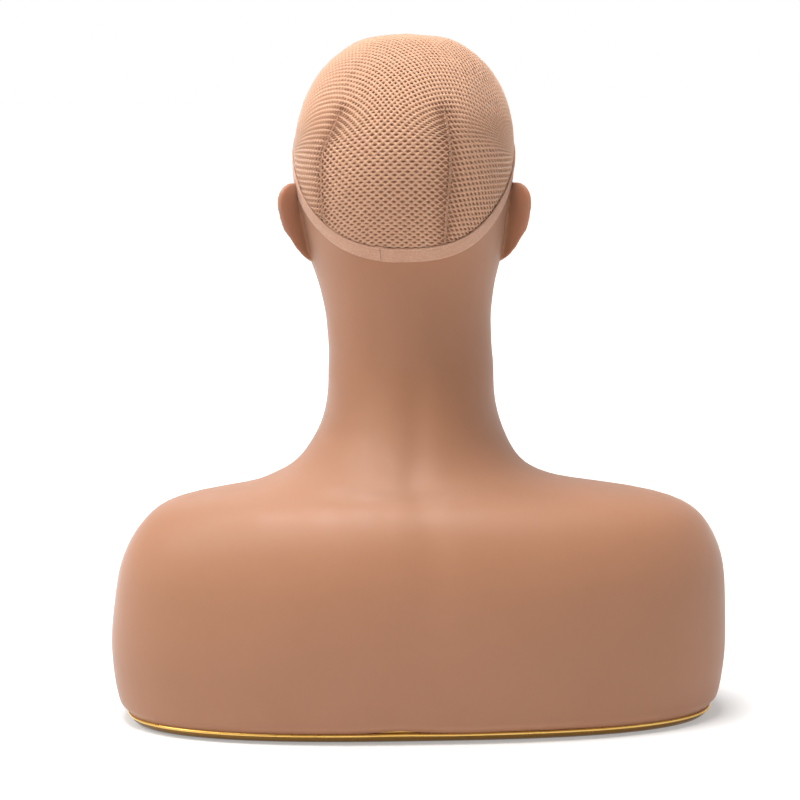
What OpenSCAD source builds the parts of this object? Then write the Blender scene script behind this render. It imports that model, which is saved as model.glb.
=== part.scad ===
// Wig display bust: a hollow moulded head, neck and armless shoulders on a gold base plate,
// with a knitted net cap that pulls off the head. Faces -Y, +Z up, origin under the middle of its box.

/* [Torso] */
// Width across the shoulders
shoulder_w = 413; // [340:1:480]
// Depth of the torso, chest to shoulder blades
torso_d = 188; // [155:1:230]
// Height of the shoulder tops above the underside
shoulder_h = 155; // [130:1:190]
// How far the shoulder tops stand to the right of the torso's middle
shoulder_offset = 3; // [0:0.5:8]
// Thickness of the moulded skin
wall = 3; // [2:0.25:4.5]

/* [Neck] */
// Width of the neck at its narrowest
neck_w = 110.5; // [92:0.5:130]
// Depth of the neck at its narrowest
neck_d = 100; // [85:1:118]
// Height from the shoulder tops to the chin
neck_h = 79; // [66:1:95]
// How far the neck stands in front of the torso's middle
neck_forward = 39; // [25:1:52]
// How far the neck stands to the left of the torso's middle
neck_offset = 3.5; // [0:0.5:12]
// How far the foot of the neck stands to the left of the torso's middle
foot_offset = 7; // [0:0.5:12]

/* [Head] */
// Width of the head above the ears
head_w = 146; // [122:0.5:176]
// Length of the head, forehead to back
head_l = 191; // [158:1:230]
// Height of the head, chin to crown
head_h = 218; // [180:1:262]
// How far the middle of the head stands in front of the torso's middle
head_forward = 49; // [35:1:62]
// How far the head stands to the left of the torso's middle
head_offset = 9.5; // [0:0.5:15]
// How far the crown stands to the left of the torso's middle
crown_offset = 5.5; // [0:0.5:15]
// How far the nose stands out from the face
nose_out = 25; // [18:1:30]
// Height of an ear
ear_h = 50; // [42:1:60]
// How far an ear stands out from the side of the head
ear_out = 10; // [8:0.5:14]

/* [Base] */
// Height of the gold edge that shows below the skin
base_h = 7; // [5.5:0.5:10]
// How far the underside is drawn in from the skin
base_tuck = 8; // [5:0.5:12]
// Thickness of the plate inside its rim
deck_t = 4; // [3:0.5:5]
// Height of the rim that locates the skin, above the gold edge
rim_h = 13; // [8:1:22]
// Thickness of that rim
rim_t = 4; // [3:0.5:6]
// Gap between the rim and the inside of the skin
rim_gap = 0.4; // [0.3:0.1:0.8]

/* [Fixings] */
// Thickness of the plywood board glued inside the skin
board_t = 12; // [9:1:18]
// Width of the board's solid border
board_border = 48; // [40:1:56]
// Distance between the screws, left to right
screw_x = 284; // [240:2:300]
// Distance between the screws, front to back
screw_y = 84; // [70:2:96]
// Diameter of a screw's shank
screw_d = 4; // [3:0.5:5]
// Diameter of a screw's head
screw_head_d = 8; // [7:0.5:10]
// Height of a screw's head
screw_head_h = 2.6; // [2:0.2:3]
// Length of a screw below its head
screw_l = 25; // [20:1:30]

/* [Cap] */
// Gap between the cap and the skin
cap_gap = 0.7; // [0.6:0.05:0.9]
// Thickness of the net
net_t = 0.8; // [0.6:0.1:1.2]
// Width of the elastic band
band_w = 11.5; // [8:0.5:14]
// Thickness of the elastic band
band_t = 1.6; // [1.2:0.1:2.2]
// Height of the band's lower edge at the forehead, below the crown
band_front = 34; // [28:1:40]
// Height of the band's lower edge at the nape, below the crown
band_back = 145.5; // [120:0.5:150]
// How far the band is raised where it passes over the ears
ear_rise = 3; // [0:0.5:6]
// How far the band is drawn down behind the ears
behind_ear_drop = 4.5; // [0:0.5:6]
// How far the cap is turned on the head, in degrees
cap_turn = 15; // [-20:1:20]
// Distance between the two darts at their lower ends
dart_gap = 88; // [70:1:110]
// Width of a dart's stitched ridge
dart_w = 2.4; // [1.8:0.2:3.4]

/* [Hidden] */

skin = [0.76, 0.56, 0.44];
gold = [0.86, 0.66, 0.22];
net = [0.87, 0.70, 0.58];
elastic = [0.82, 0.63, 0.52];

ring_points = 44;
sub_rings = 2;
// keeps two faces from lying in one plane
skim = 0.01;
degree = 180 / PI;
half_s = shoulder_w / 2;
half_t = torso_d / 2;
chin_z = shoulder_h + neck_h;
crown_z = chin_z + head_h;
neck_mid = -neck_forward;
head_mid = -head_forward;
// the widest part of the head lies a little behind its middle
head_wide = head_mid + head_l * 0.05;
nose_tip = head_mid - head_l / 2 - nose_out;
// the whole bust is moved so that its box is centred front to back
shift_y = -(nose_tip + half_t) / 2;
// where the torso is widest, and how far that place moves forward at the neck and at the crown
torso_wide = half_t * 0.03;
neck_pull = 20;
crown_pull = 12;

// The lower edge of the skin: half width, front and back as shares, and how square its outline is
hem_row = [0.957, 0.93, 0.94, 2.7];
// A section across the torso: height and half width as shares of the shoulders, front and back as
// shares of the half depth, and how square its outline is
torso_table = [
    [0.10, 0.983, 0.955, 0.965, 2.40], [0.26, 1.000, 0.975, 0.985, 2.40],
    [0.39, 1.000, 0.985, 1.000, 2.38], [0.52, 0.993, 0.970, 0.990, 2.34],
    [0.64, 0.984, 0.930, 0.955, 2.28], [0.74, 0.961, 0.875, 0.900, 2.22],
    [0.82, 0.928, 0.815, 0.845, 2.16], [0.88, 0.890, 0.765, 0.790, 2.10],
    [0.925, 0.840, 0.722, 0.740, 2.04], [0.957, 0.766, 0.692, 0.695, 1.98],
    [0.980, 0.660, 0.672, 0.650, 1.93], [1.000, 0.545, 0.660, 0.595, 1.92]];

// A section across the neck: height as a share of the neck, half width over the neck's, front and
// back as distances beyond the neck's own at its narrowest, and squareness
neck_table = [
    [0.055, 1.72, -27, 42, 1.94], [0.13, 1.46, -27, 34, 1.98], [0.22, 1.31, -26, 26.5, 2.0],
    [0.32, 1.21, -24, 19, 2.04], [0.44, 1.12, -20.5, 12.5, 2.06], [0.59, 1.055, -14.5, 6.5, 2.06],
    [0.76, 1.012, -7.5, 1.8, 2.06], [0.90, 1.000, 0.5, 0, 2.0]];

// A section across the head: height as a share of the head above the chin, half width as a share
// of the head's, front and back as distances inside the head's own ends, and the squareness of
// the front half; the jaw levels come first
head_table = [
    [-0.006, 0.735, 41.5, 36, 1.90], [0.010, 0.736, 25.5, 36.3, 1.76], [0.030, 0.739, 11.5, 36.6, 1.66],
    [0.058, 0.744, 3.5, 36.8, 1.66], [0.095, 0.752, 0.3, 36.6, 1.70], [0.140, 0.766, 1.2, 35.8, 1.76],
    [0.195, 0.790, -1.5, 34.2, 1.84], [0.250, 0.822, -2.6, 31.6, 1.90], [0.305, 0.872, -1.8, 27.2, 1.95],
    [0.360, 0.914, 0.0, 20.4, 2.0], [0.425, 0.949, 2.2, 11.6, 2.04], [0.495, 0.977, 3.6, 4.4, 2.08],
    [0.560, 0.994, 0.2, 0.9, 2.12], [0.632, 1.000, 0.0, 0.0, 2.12], [0.706, 0.991, 1.4, 1.6, 2.1],
    [0.771, 0.952, 4.4, 6.0, 2.08], [0.826, 0.893, 9.0, 12.4, 2.06], [0.876, 0.811, 15.6, 20.8, 2.04],
    [0.917, 0.711, 23.6, 31.0, 2.02], [0.950, 0.594, 34.0, 43.6, 2.0], [0.975, 0.480, 44.5, 55.0, 2.0],
    [0.9895, 0.372, 54.0, 64.6, 2.0], [0.9965, 0.235, 66.5, 77.5, 2.0], [1.0, 0.03, 84.5, 96.0, 2.0]];

// how far the top of the torso follows the foot of the neck sideways
function foot_share(h) = min(1, max(0, h - 0.90) / 0.15);

// Every section in millimetres: height, half width, front, back, widest place front to back,
// squareness of the front and of the back, and how far the section stands to the left
sections = concat(
    [[base_h, half_s * hem_row[0], -half_t * hem_row[1], half_t * hem_row[2], torso_wide,
        hem_row[3], hem_row[3], 0]],
    [for (r = torso_table) [shoulder_h * r[0], half_s * r[1], -half_t * r[2], half_t * r[3],
        torso_wide - neck_pull * max(0, r[0] - 0.9), r[4], r[4],
        foot_offset * foot_share(r[0]) -
        shoulder_offset * min(1, max(0, r[0] - 0.39) / 0.4) * (1 - foot_share(r[0]))]],
    [for (r = neck_table) [shoulder_h + neck_h * r[0], neck_w / 2 * r[1],
        neck_mid - neck_d / 2 - r[2], neck_mid + neck_d / 2 + r[3],
        neck_mid * min(1, r[0] / 0.5 + 0.1), r[4], max(2.05, r[4]),
        foot_offset + (neck_offset - foot_offset) * min(1, max(0, r[0] - 0.1) / 0.35)]],
    [for (r = head_table) [chin_z + head_h * r[0], head_w / 2 * r[1],
        head_mid - head_l / 2 + r[2], head_mid + head_l / 2 - r[3],
        head_wide - crown_pull * min(1, max(0, r[0] - 0.80) / 0.2), r[4], max(2.05, r[4]),
        r[0] < 0.5 ? neck_offset + (head_offset - neck_offset) * max(0, r[0]) / 0.5 :
            head_offset + (crown_offset - head_offset) * (r[0] - 0.5) / 0.5]]);
last = len(sections) - 1;
head_first = 1 + len(torso_table) + len(neck_table);

function spline(a, b, c, d, t) =
    0.5 * (2 * b + (c - a) * t + (2 * a - 5 * b + 4 * c - d) * t * t + (3 * b - a - 3 * c + d) * t * t * t);
function section(u) = let (i = min(floor(u), last - 1), t = u - i)
    spline(sections[max(i - 1, 0)], sections[i], sections[i + 1], sections[min(i + 2, last)], t);
function power(v, n) = sign(v) * pow(abs(v), 2 / n);
// A point of the skin: u counts the sections from the base up, side is the angle round them,
// 0 on the left and 90 at the back
function on_section(s, side) = let (y = sin(side), n = y > 0 ? s[6] : s[5])
    [s[7] + s[1] * power(cos(side), n),
     shift_y + s[4] + (y > 0 ? s[3] - s[4] : s[4] - s[2]) * power(y, n), s[0]];
function on_skin(u, side) = on_section(section(u), side);
function unit(v) = v / norm(v);
function skin_normal(u, side) = let (
    e = 0.04, u0 = max(0, u - e), u1 = min(last - 0.02, u + e),
    up = on_skin(u1, side) - on_skin(u0, side),
    round = on_skin(u, side + 1.5) - on_skin(u, side - 1.5))
    unit(cross(round, up));
function off_skin(u, side, d) = on_skin(u, side) + skin_normal(u, side) * d;

// Faces that join rings of n points, each ring above the one before it, seen from outside
function wrap(rings, n, first = 0) = [for (r = [0:rings - 2], i = [0:n - 1])
    let (a = first + r * n + i, b = first + r * n + (i + 1) % n) each [[a, a + n, b], [b, a + n, b + n]]];
function flipped(faces) = [for (f = faces) [f[2], f[1], f[0]]];
function turn(i, n) = 360 * i / n;

// Where a ring of the inside lies: the top of the hollow stays a wall below the crown
inner_top = last - 1.2;
inner_rings = 24;
function inner_u(k) = inner_top * k / (inner_rings - 1);

module skin_loft() {
    outer_rings = last * sub_rings + 1;
    n = ring_points;
    outer = [for (r = [0:outer_rings - 1], i = [0:n - 1]) on_skin(r / sub_rings, turn(i, n))];
    polyhedron(concat(outer, [crown_point()]),
        concat(wrap(outer_rings, n), [for (i = [0:n - 1])
            [(outer_rings - 1) * n + i, outer_rings * n, (outer_rings - 1) * n + (i + 1) % n]],
            [[for (i = [0:n - 1]) i]]), convexity = 6);
}
function crown_point() = [crown_offset, shift_y + (sections[last][2] + sections[last][3]) / 2, crown_z + 0.05];

module hollow_loft() {
    m = ring_points;
    bottom = [for (i = [0:m - 1]) let (p = off_skin(0, turn(i, m), -wall)) [p[0], p[1], base_h - 1]];
    rings = [for (k = [0:inner_rings - 1], i = [0:m - 1]) let (p = off_skin(inner_u(k), turn(i, m), -wall))
        [p[0], p[1], k == 0 ? base_h + skim : p[2]]];
    count = inner_rings + 1;
    polyhedron(concat(bottom, rings), concat(wrap(count, m),
        [[for (i = [0:m - 1]) i]], [[for (i = [m - 1:-1:0]) (count - 1) * m + i]]), convexity = 6);
}

// Ears: each is a chain of rounded links round the outer fold, with a thinner bowl inside it
// the top of the ear stays below the band, so a longer ear reaches further down
ear_top = chin_z + head_h * 0.318 + 50;
ear_low = ear_top - ear_h;
ear_root_y = shift_y + head_wide + 4;
// height as a share of the ear, how far out, how far back, and the fold's radius
ear_fold = [[0.62, -1.5, -9, 2.6], [0.86, 2.5, -4, 3.4], [0.95, 8.5, 3, 3.4], [0.90, ear_out - 2.8, 12, 3.2],
    [0.66, ear_out - 2.4, 16, 3.0], [0.38, ear_out - 4.6, 13, 3.2], [0.14, ear_out - 8.5, 6, 3.8],
    [0.04, ear_out - 12.5, -1, 4]];
function ear_place(k) = [head_w / 2 - 1.5 + ear_fold[k][1], ear_root_y + ear_fold[k][2],
    ear_low + ear_h * ear_fold[k][0] ];
module ear_bead(k) {
    translate(ear_place(k)) sphere(r = ear_fold[k][3], $fn = 10);
}
module ear() {
    for (k = [0:len(ear_fold) - 2]) hull() {
        ear_bead(k);
        ear_bead(k + 1);
    }
    hull() {
        for (k = [1:6]) translate(ear_place(k) - [3.5, 1.5, 0]) sphere(r = 1.6, $fn = 8);
        translate([head_w / 2 - 8, ear_root_y - 5, ear_low + ear_h * 0.22]) sphere(r = 3, $fn = 8);
        translate([head_w / 2 - 8, ear_root_y - 5, ear_low + ear_h * 0.70]) sphere(r = 3, $fn = 8);
    }
}
module ears() {
    translate([head_offset, 0, 0]) {
        ear();
        mirror([1, 0, 0]) ear();
    }
}

// The nose: a rounded tip, two wings, the bridge between the eyes, and a root inside the face
nose_z = chin_z + head_h * 0.335;
tip_r = 5;
wing_r = 4.5;
wing_x = 11;
bridge_r = 6;
bridge_h = 44;
module nose() {
    face = shift_y + head_mid - head_l / 2;
    translate([head_offset, face, nose_z]) hull() {
        translate([0, tip_r - nose_out, 0]) sphere(r = tip_r, $fn = 16);
        for (s = [-1, 1]) translate([s * wing_x, -2, -4]) sphere(r = wing_r, $fn = 12);
        translate([0, 9, bridge_h]) sphere(r = bridge_r, $fn = 12);
        translate([0, 8, -4]) sphere(r = bridge_r, $fn = 12);
    }
}

module bust_shell() {
    color(skin) difference() {
        union() {
            skin_loft();
            ears();
            nose();
        }
        hollow_loft();
    }
}

// Outline of the torso at the base, drawn in by d, as points at height z
function base_ring(d, z, n) = [for (i = [0:n - 1])
    let (p = on_skin(0, turn(i, n)), m = skin_normal(0, turn(i, n)), flat = unit([m[0], m[1], 0]))
    [p[0] - flat[0] * d, p[1] - flat[1] * d, z]];
module stack_rings(levels, n) {
    count = len(levels);
    polyhedron([for (l = levels) each base_ring(l[0], l[1], n)], concat(wrap(count, n),
        [[for (i = [0:n - 1]) i]], [[for (i = [n - 1:-1:0]) (count - 1) * n + i]]), convexity = 4);
}
rim_in = wall + rim_gap;
rim_top = base_h + rim_h;
// the gold edge as it curls under: how far in, and how high as a share of its height
edge_curl = [[base_tuck, 0], [base_tuck * 0.62, 0.07], [base_tuck * 0.32, 0.26], [base_tuck * 0.12, 0.52],
    [0, 0.80], [0.4, 1]];
board_gap = 0.6;
// clearance round a screw in the plate, and the thickness of a well's wall
screw_play = 0.6;
well_wall = 4;
screw_low = deck_t - screw_head_h - 0.9;
slot_w = 1;
slot_depth = 1.2;
module at_screws() {
    for (x = [-1, 1], y = [-1, 1])
        translate([x * screw_x / 2, shift_y + half_t * 0.02 + y * screw_y / 2, 0]) children();
}

module base_plate() {
    color(gold) difference() {
        union() {
            difference() {
                stack_rings(concat([for (e = edge_curl) [e[0], e[1] * base_h]],
                    [[rim_in, base_h], [rim_in, rim_top]]), ring_points);
                stack_rings([[rim_in + rim_t, deck_t], [rim_in + rim_t, rim_top + 1]], ring_points);
            }
            at_screws() translate([0, 0, deck_t - 0.5])
                cylinder(d = screw_head_d + 2 * well_wall, h = rim_top - deck_t + 0.5, $fn = 40);
        }
        at_screws() {
            translate([0, 0, -1]) cylinder(d = screw_d + screw_play, h = rim_top + 2, $fn = 32);
            translate([0, 0, -1])
                cylinder(d = screw_head_d + screw_play, h = screw_low + screw_head_h + 1, $fn = 32);
        }
    }
}

module inner_board() {
    color("burlywood") difference() {
        stack_rings([[rim_in + board_gap, rim_top], [rim_in + board_gap, rim_top + board_t]], ring_points);
        stack_rings([[rim_in + board_border, rim_top - 1], [rim_in + board_border, rim_top + board_t + 1]],
            ring_points);
        at_screws() translate([0, 0, rim_top - 1]) cylinder(d = screw_d, h = board_t + 2, $fn = 32);
    }
}

module base_screws() {
    color("silver") at_screws() translate([0, 0, screw_low]) {
        difference() {
            cylinder(d = screw_head_d, h = screw_head_h, $fn = 32);
            for (a = [0, 90]) rotate(a) translate([-screw_head_d * 0.3, -slot_w / 2, -skim])
                cube([screw_head_d * 0.6, slot_w, slot_depth]);
        }
        translate([0, 0, screw_head_h]) cylinder(d = screw_d, h = screw_l, $fn = 32);
    }
}

// The cap: its lower edge runs round the head from the forehead, over the ears, to the nape
cap_points = 48;
cap_rows = 18;
band_rows = 3;
// how many sections below the crown the net's last ring lies, and its gap above the band
crown_gap = 1.5;
band_clear = 0.6;
front_z = crown_z - band_front;
back_z = crown_z - band_back;
// the soft band turns less than the net does
band_share = 0.21;
// height of the band's lower edge: a slanted ring, raised over the ears and drawn down behind them
function edge_z(side) = let (s = side + cap_turn * band_share)
    (front_z + back_z) / 2 + (back_z - front_z) / 2 * sin(s) + ear_rise * pow(cos(s), 2)
    - (sin(s) > 0 ? behind_ear_drop * pow(sin(2 * s), 2) : 0);
// the section number at a height on the head, by halving
function level(z, lo, hi, steps = 14) = steps == 0 ? (lo + hi) / 2 :
    let (mid = (lo + hi) / 2) section(mid)[0] > z ? level(z, lo, mid, steps - 1) : level(z, mid, hi, steps - 1);
function edge_level(side, up = 0) = level(edge_z(side) + up, head_first, last - 1);
function cap_side(i) = turn(i, cap_points);
// sine of the slope between the skin and the upright at the band, to measure along the skin
function band_rise(side, w) = w * sqrt(1 - pow(skin_normal(edge_level(side), side)[2], 2));

module closed_sheet(low, high, rows, inside, outside, top) {
    n = cap_points;
    count = rows + 1;
    lift = [for (face = [inside, outside], r = [0:rows], i = [0:n - 1])
        let (a = low[i], b = high[i]) off_skin(a + (b - a) * r / rows, cap_side(i), face)];
    step = count * n;
    in_pole = 2 * step;
    poles = top ? [crown_point() + [0, 0, inside], crown_point() + [0, 0, outside]] : [];
    edge = [for (i = [0:n - 1]) let (j = (i + 1) % n) each [[step + i, j, i], [step + i, step + j, j]]];
    rim = [for (i = [0:n - 1]) let (j = (i + 1) % n, a = rows * n) each top ?
        [[in_pole, a + i, a + j], [in_pole + 1, step + a + j, step + a + i]] :
        [[step + a + i, a + i, a + j], [step + a + j, step + a + i, a + j]]];
    polyhedron(concat(lift, poles),
        concat(flipped(wrap(count, n)), wrap(count, n, step), edge, rim), convexity = 8);
}

module cap_net() {
    low = [for (i = [0:cap_points - 1]) edge_level(cap_side(i), band_rise(cap_side(i), band_w) + band_clear)];
    high = [for (i = [0:cap_points - 1]) last - crown_gap];
    color(net) closed_sheet(low, high, cap_rows, cap_gap, cap_gap + net_t, true);
}

module cap_band() {
    low = [for (i = [0:cap_points - 1]) edge_level(cap_side(i))];
    high = [for (i = [0:cap_points - 1]) edge_level(cap_side(i), band_rise(cap_side(i), band_w))];
    color(elastic) closed_sheet(low, high, band_rows, cap_gap, cap_gap + band_t, false);
}

// A strip on the cap between two places, each given as [side, height]
module strip(from, to, w, inside, outside, steps) {
    path = [for (k = [0:steps]) let (t = k / steps, side = from[0] + (to[0] - from[0]) * t,
        z = from[1] + (to[1] - from[1]) * t) [side, level(z, head_first, last - 1)]];
    half = w / head_w * degree;
    points = [for (p = path, s = [[-1, inside], [1, inside], [1, outside], [-1, outside]])
        off_skin(p[1], p[0] + s[0] * half, s[1])];
    polyhedron(points, concat(
        [for (k = [0:steps - 1], i = [0:3]) let (a = 4 * k + i, b = 4 * k + (i + 1) % 4)
            each [[a, b, a + 4], [b, b + 4, a + 4]]],
        [[3, 2, 1, 0], [for (i = [0:3]) 4 * steps + i]]), convexity = 4);
}
dart_half = dart_gap / head_w * degree;
dart_top = chin_z + head_h * 0.80;
dart_rise = 1.2;
dart_play = 0.08;
dart_steps = 10;
// how many degrees each dart leans at its upper end
lean_left = 8;
lean_right = -2;
module dart(side, lean) {
    low = edge_z(side) + band_rise(side, band_w) + 1;
    color(net) strip([side, low], [side + lean, dart_top], dart_w,
        cap_gap + net_t + dart_play, cap_gap + net_t + dart_rise, dart_steps);
}
module cap_dart_left() {
    dart(90 - dart_half - cap_turn, lean_left);
}
module cap_dart_right() {
    dart(90 + dart_half - cap_turn, lean_right);
}

// The stitched join of the band: its angle round the head, its width and its thickness
join_side = 73;
join_w = 5;
join_t = 1;
module band_join() {
    low = edge_z(join_side) - 0.2;
    color(elastic) strip([join_side, low], [join_side, low + band_rise(join_side, band_w) + band_clear], join_w,
        cap_gap + band_t + 2 * skim, cap_gap + band_t + join_t, band_rows);
}

bust_shell();
base_plate();
inner_board();
base_screws();
cap_net();
cap_dart_left();
cap_dart_right();
cap_band();
band_join();
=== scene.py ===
import math
import bmesh
import bpy
import numpy as np
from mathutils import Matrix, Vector


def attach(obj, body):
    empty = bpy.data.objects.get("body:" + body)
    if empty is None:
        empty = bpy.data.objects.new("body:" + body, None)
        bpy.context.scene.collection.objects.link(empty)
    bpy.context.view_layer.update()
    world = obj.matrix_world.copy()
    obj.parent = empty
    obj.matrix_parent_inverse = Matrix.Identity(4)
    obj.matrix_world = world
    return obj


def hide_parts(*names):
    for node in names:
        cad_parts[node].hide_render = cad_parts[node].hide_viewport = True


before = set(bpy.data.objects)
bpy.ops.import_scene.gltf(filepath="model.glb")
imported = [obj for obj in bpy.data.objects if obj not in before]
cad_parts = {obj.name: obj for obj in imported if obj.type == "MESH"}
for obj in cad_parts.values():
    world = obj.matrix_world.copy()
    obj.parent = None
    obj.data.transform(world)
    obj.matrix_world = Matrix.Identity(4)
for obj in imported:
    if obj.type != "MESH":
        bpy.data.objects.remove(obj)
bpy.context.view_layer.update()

# All shapes are worked out in millimetres, and turned into metres when their mesh is made.
mm = 0.001

# The bust is lofted through level sections, as the CAD model is, from these sizes.
bust = {
    "shoulderWidth": 413.0,
    "torsoDepth": 188.0,
    "torsoWide": 0.03,   # where the sides are widest, as a share of the half depth
    "shoulderHeight": 155.0,
    "shoulderOffset": 3.0,
    "neckWidth": 110.5,
    "neckDepth": 100.0,
    "neckHeight": 79.0,
    "neckForward": 39.0,
    "neckOffset": 3.5,
    "neckPull": 20.0,
    "footOffset": 7.0,
    "headWidth": 146.0,
    "headLength": 191.0,
    "headHeight": 218.0,
    "headForward": 49.0,
    "headOffset": 9.5,
    "crownOffset": 5.5,
    "crownPull": 12.0,
    "noseOut": 25.0,
    "baseHeight": 7.0,
}
halfWidth = bust["shoulderWidth"] / 2
halfDepth = bust["torsoDepth"] / 2
chinZ = bust["shoulderHeight"] + bust["neckHeight"]
crownZ = chinZ + bust["headHeight"]
neckMid = -bust["neckForward"]
headMid = -bust["headForward"]
headWide = headMid + bust["headLength"] * 0.05   # the head is widest a little behind its middle
shiftY = -(headMid - bust["headLength"] / 2 - bust["noseOut"] + halfDepth) / 2

# half width, front and back as shares of the half sizes, then the roundness: 2 is an ellipse
hemRow = [0.957, 0.93, 0.94, 2.7]
# the same, after each row's height as a share of the shoulders'
torsoTable = [
    [0.10, 0.983, 0.955, 0.965, 2.40], [0.26, 1.000, 0.975, 0.985, 2.40],
    [0.39, 1.000, 0.985, 1.000, 2.38], [0.52, 0.993, 0.970, 0.990, 2.34],
    [0.64, 0.984, 0.930, 0.972, 2.28], [0.74, 0.961, 0.875, 0.930, 2.22],
    [0.82, 0.928, 0.815, 0.878, 2.16], [0.88, 0.890, 0.765, 0.820, 2.10],
    [0.925, 0.840, 0.722, 0.762, 2.04], [0.957, 0.766, 0.692, 0.706, 1.98],
    [0.980, 0.660, 0.672, 0.650, 1.93], [1.000, 0.545, 0.660, 0.595, 1.92]]
# height and width as shares, how far front and back stand out beyond the neck's depth, roundness
neckTable = [
    [0.055, 1.72, -27, 42, 1.94], [0.13, 1.46, -27, 35, 1.98], [0.22, 1.31, -26, 28.5, 2.0],
    [0.32, 1.21, -24, 22.5, 2.04], [0.44, 1.12, -20.5, 16.8, 2.06], [0.59, 1.055, -14.5, 10.6, 2.06],
    [0.76, 1.022, -7.5, 4.8, 2.06], [0.90, 1.020, 0.5, 1.2, 2.0]]
# height and width as shares, how far front and back stay inside the head's length, roundness
headTable = [
    [-0.006, 0.768, 41.5, 36, 1.90], [0.010, 0.765, 25.5, 36.3, 1.76], [0.030, 0.762, 11.5, 36.6, 1.66],
    [0.058, 0.760, 3.5, 36.8, 1.66], [0.095, 0.763, 0.3, 36.6, 1.70], [0.140, 0.766, 1.2, 35.8, 1.76],
    [0.195, 0.790, -1.5, 34.2, 1.84], [0.250, 0.822, -2.6, 31.6, 1.90], [0.305, 0.872, -1.8, 27.2, 1.95],
    [0.360, 0.914, 0.0, 20.4, 2.0], [0.425, 0.949, 2.2, 11.6, 2.04], [0.495, 0.977, 3.6, 4.4, 2.08],
    [0.560, 0.994, 0.2, 0.9, 2.12], [0.632, 1.000, 0.0, 0.0, 2.12], [0.706, 0.991, 1.4, 1.6, 2.1],
    [0.771, 0.952, 4.4, 6.0, 2.08], [0.826, 0.893, 9.0, 12.4, 2.06], [0.876, 0.811, 15.6, 20.8, 2.04],
    [0.917, 0.711, 23.6, 31.0, 2.02], [0.950, 0.594, 34.0, 43.6, 2.0], [0.975, 0.480, 44.5, 55.0, 2.0],
    [0.9895, 0.372, 54.0, 64.6, 2.0], [0.9965, 0.235, 66.5, 77.5, 2.0], [1.0, 0.03, 84.5, 96.0, 2.0]]


def clamp01(v):
    return np.clip(v, 0.0, 1.0)


def smooth(v, low, high):
    t = clamp01((v - low) / (high - low))
    return t * t * (3 - 2 * t)


def bell(v, width):
    return np.exp(-(v / width) ** 2)


def splineAt(a, b, c, d, t):
    # the curve from b to c that also heads for a and d
    return 0.5 * (2 * b + (c - a) * t + (2 * a - 5 * b + 4 * c - d) * t ** 2
                  + (3 * b - a - 3 * c + d) * t ** 3)


backRound = 2.05   # the back of the neck and head is never less round than this


def makeSections():
    # each row: height, half width, front, back, widest place, roundness in front and behind, sideways
    rows = [[bust["baseHeight"], halfWidth * hemRow[0], -halfDepth * hemRow[1], halfDepth * hemRow[2],
             halfDepth * bust["torsoWide"], hemRow[3], hemRow[3], 0]]
    for r in torsoTable:
        foot = clamp01((r[0] - 0.90) / 0.15)
        lean = bust["footOffset"] * foot
        lean -= bust["shoulderOffset"] * clamp01((r[0] - 0.39) / 0.4) * (1 - foot)
        rows.append([bust["shoulderHeight"] * r[0], halfWidth * r[1], -halfDepth * r[2], halfDepth * r[3],
                     halfDepth * bust["torsoWide"] - bust["neckPull"] * max(0, r[0] - 0.9),
                     r[4], r[4], lean])
    for r in neckTable:
        share = clamp01((r[0] - 0.1) / 0.35)
        side = bust["footOffset"] + (bust["neckOffset"] - bust["footOffset"]) * share
        rows.append([bust["shoulderHeight"] + bust["neckHeight"] * r[0], bust["neckWidth"] / 2 * r[1],
                     neckMid - bust["neckDepth"] / 2 - r[2], neckMid + bust["neckDepth"] / 2 + r[3],
                     neckMid * min(1, r[0] / 0.5 + 0.1), r[4], max(backRound, r[4]), side])
    for r in headTable:
        if r[0] < 0.5:
            side = bust["neckOffset"] + (bust["headOffset"] - bust["neckOffset"]) * max(0, r[0]) / 0.5
        else:
            side = bust["headOffset"] + (bust["crownOffset"] - bust["headOffset"]) * (r[0] - 0.5) / 0.5
        rows.append([chinZ + bust["headHeight"] * r[0], bust["headWidth"] / 2 * r[1],
                     headMid - bust["headLength"] / 2 + r[2], headMid + bust["headLength"] / 2 - r[3],
                     headWide - bust["crownPull"] * clamp01((r[0] - 0.80) / 0.2),
                     r[4], max(backRound, r[4]), side])
    return np.array(rows, float)


sections = makeSections()
last = len(sections) - 1
stepsPerSection = 24
easeRounds = 160


def makeFine():
    # a smooth curve through the sections, whose curvature is then evened out
    u = np.linspace(0, last, last * stepsPerSection + 1)
    i = np.minimum(u.astype(int), last - 1)
    t = (u - i)[:, None]
    a = sections[np.maximum(i - 1, 0)]
    b = sections[i]
    c = sections[i + 1]
    d = sections[np.minimum(i + 2, last)]
    fine = splineAt(a, b, c, d, t)
    soft = fine.copy()
    for n in range(easeRounds):
        soft[1:-1] = 0.5 * soft[1:-1] + 0.25 * (soft[:-2] + soft[2:])
    keep = clamp01(np.minimum(u / 1.5, (last - u) / 2.0))[:, None]   # but not at the hem and the crown
    return u, fine * (1 - keep) + soft * keep


fineU, fineRows = makeFine()


def skinPoint(u, side):
    # u counts the sections upwards, side is the angle round the body: 90 is behind, 270 in front
    s = np.stack([np.interp(u, fineU, fineRows[:, k]) for k in range(8)], -1)
    a = np.radians(side)
    y = np.sin(a)
    n = np.where(y > 0, s[..., 6], s[..., 5])

    def power(v):
        return np.sign(v) * np.abs(v) ** (2 / n)

    depth = np.where(y > 0, s[..., 3] - s[..., 4], s[..., 4] - s[..., 2])
    return np.stack([s[..., 7] + s[..., 1] * power(np.cos(a)),
                     shiftY + s[..., 4] + depth * power(y), s[..., 0]], -1)


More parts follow.
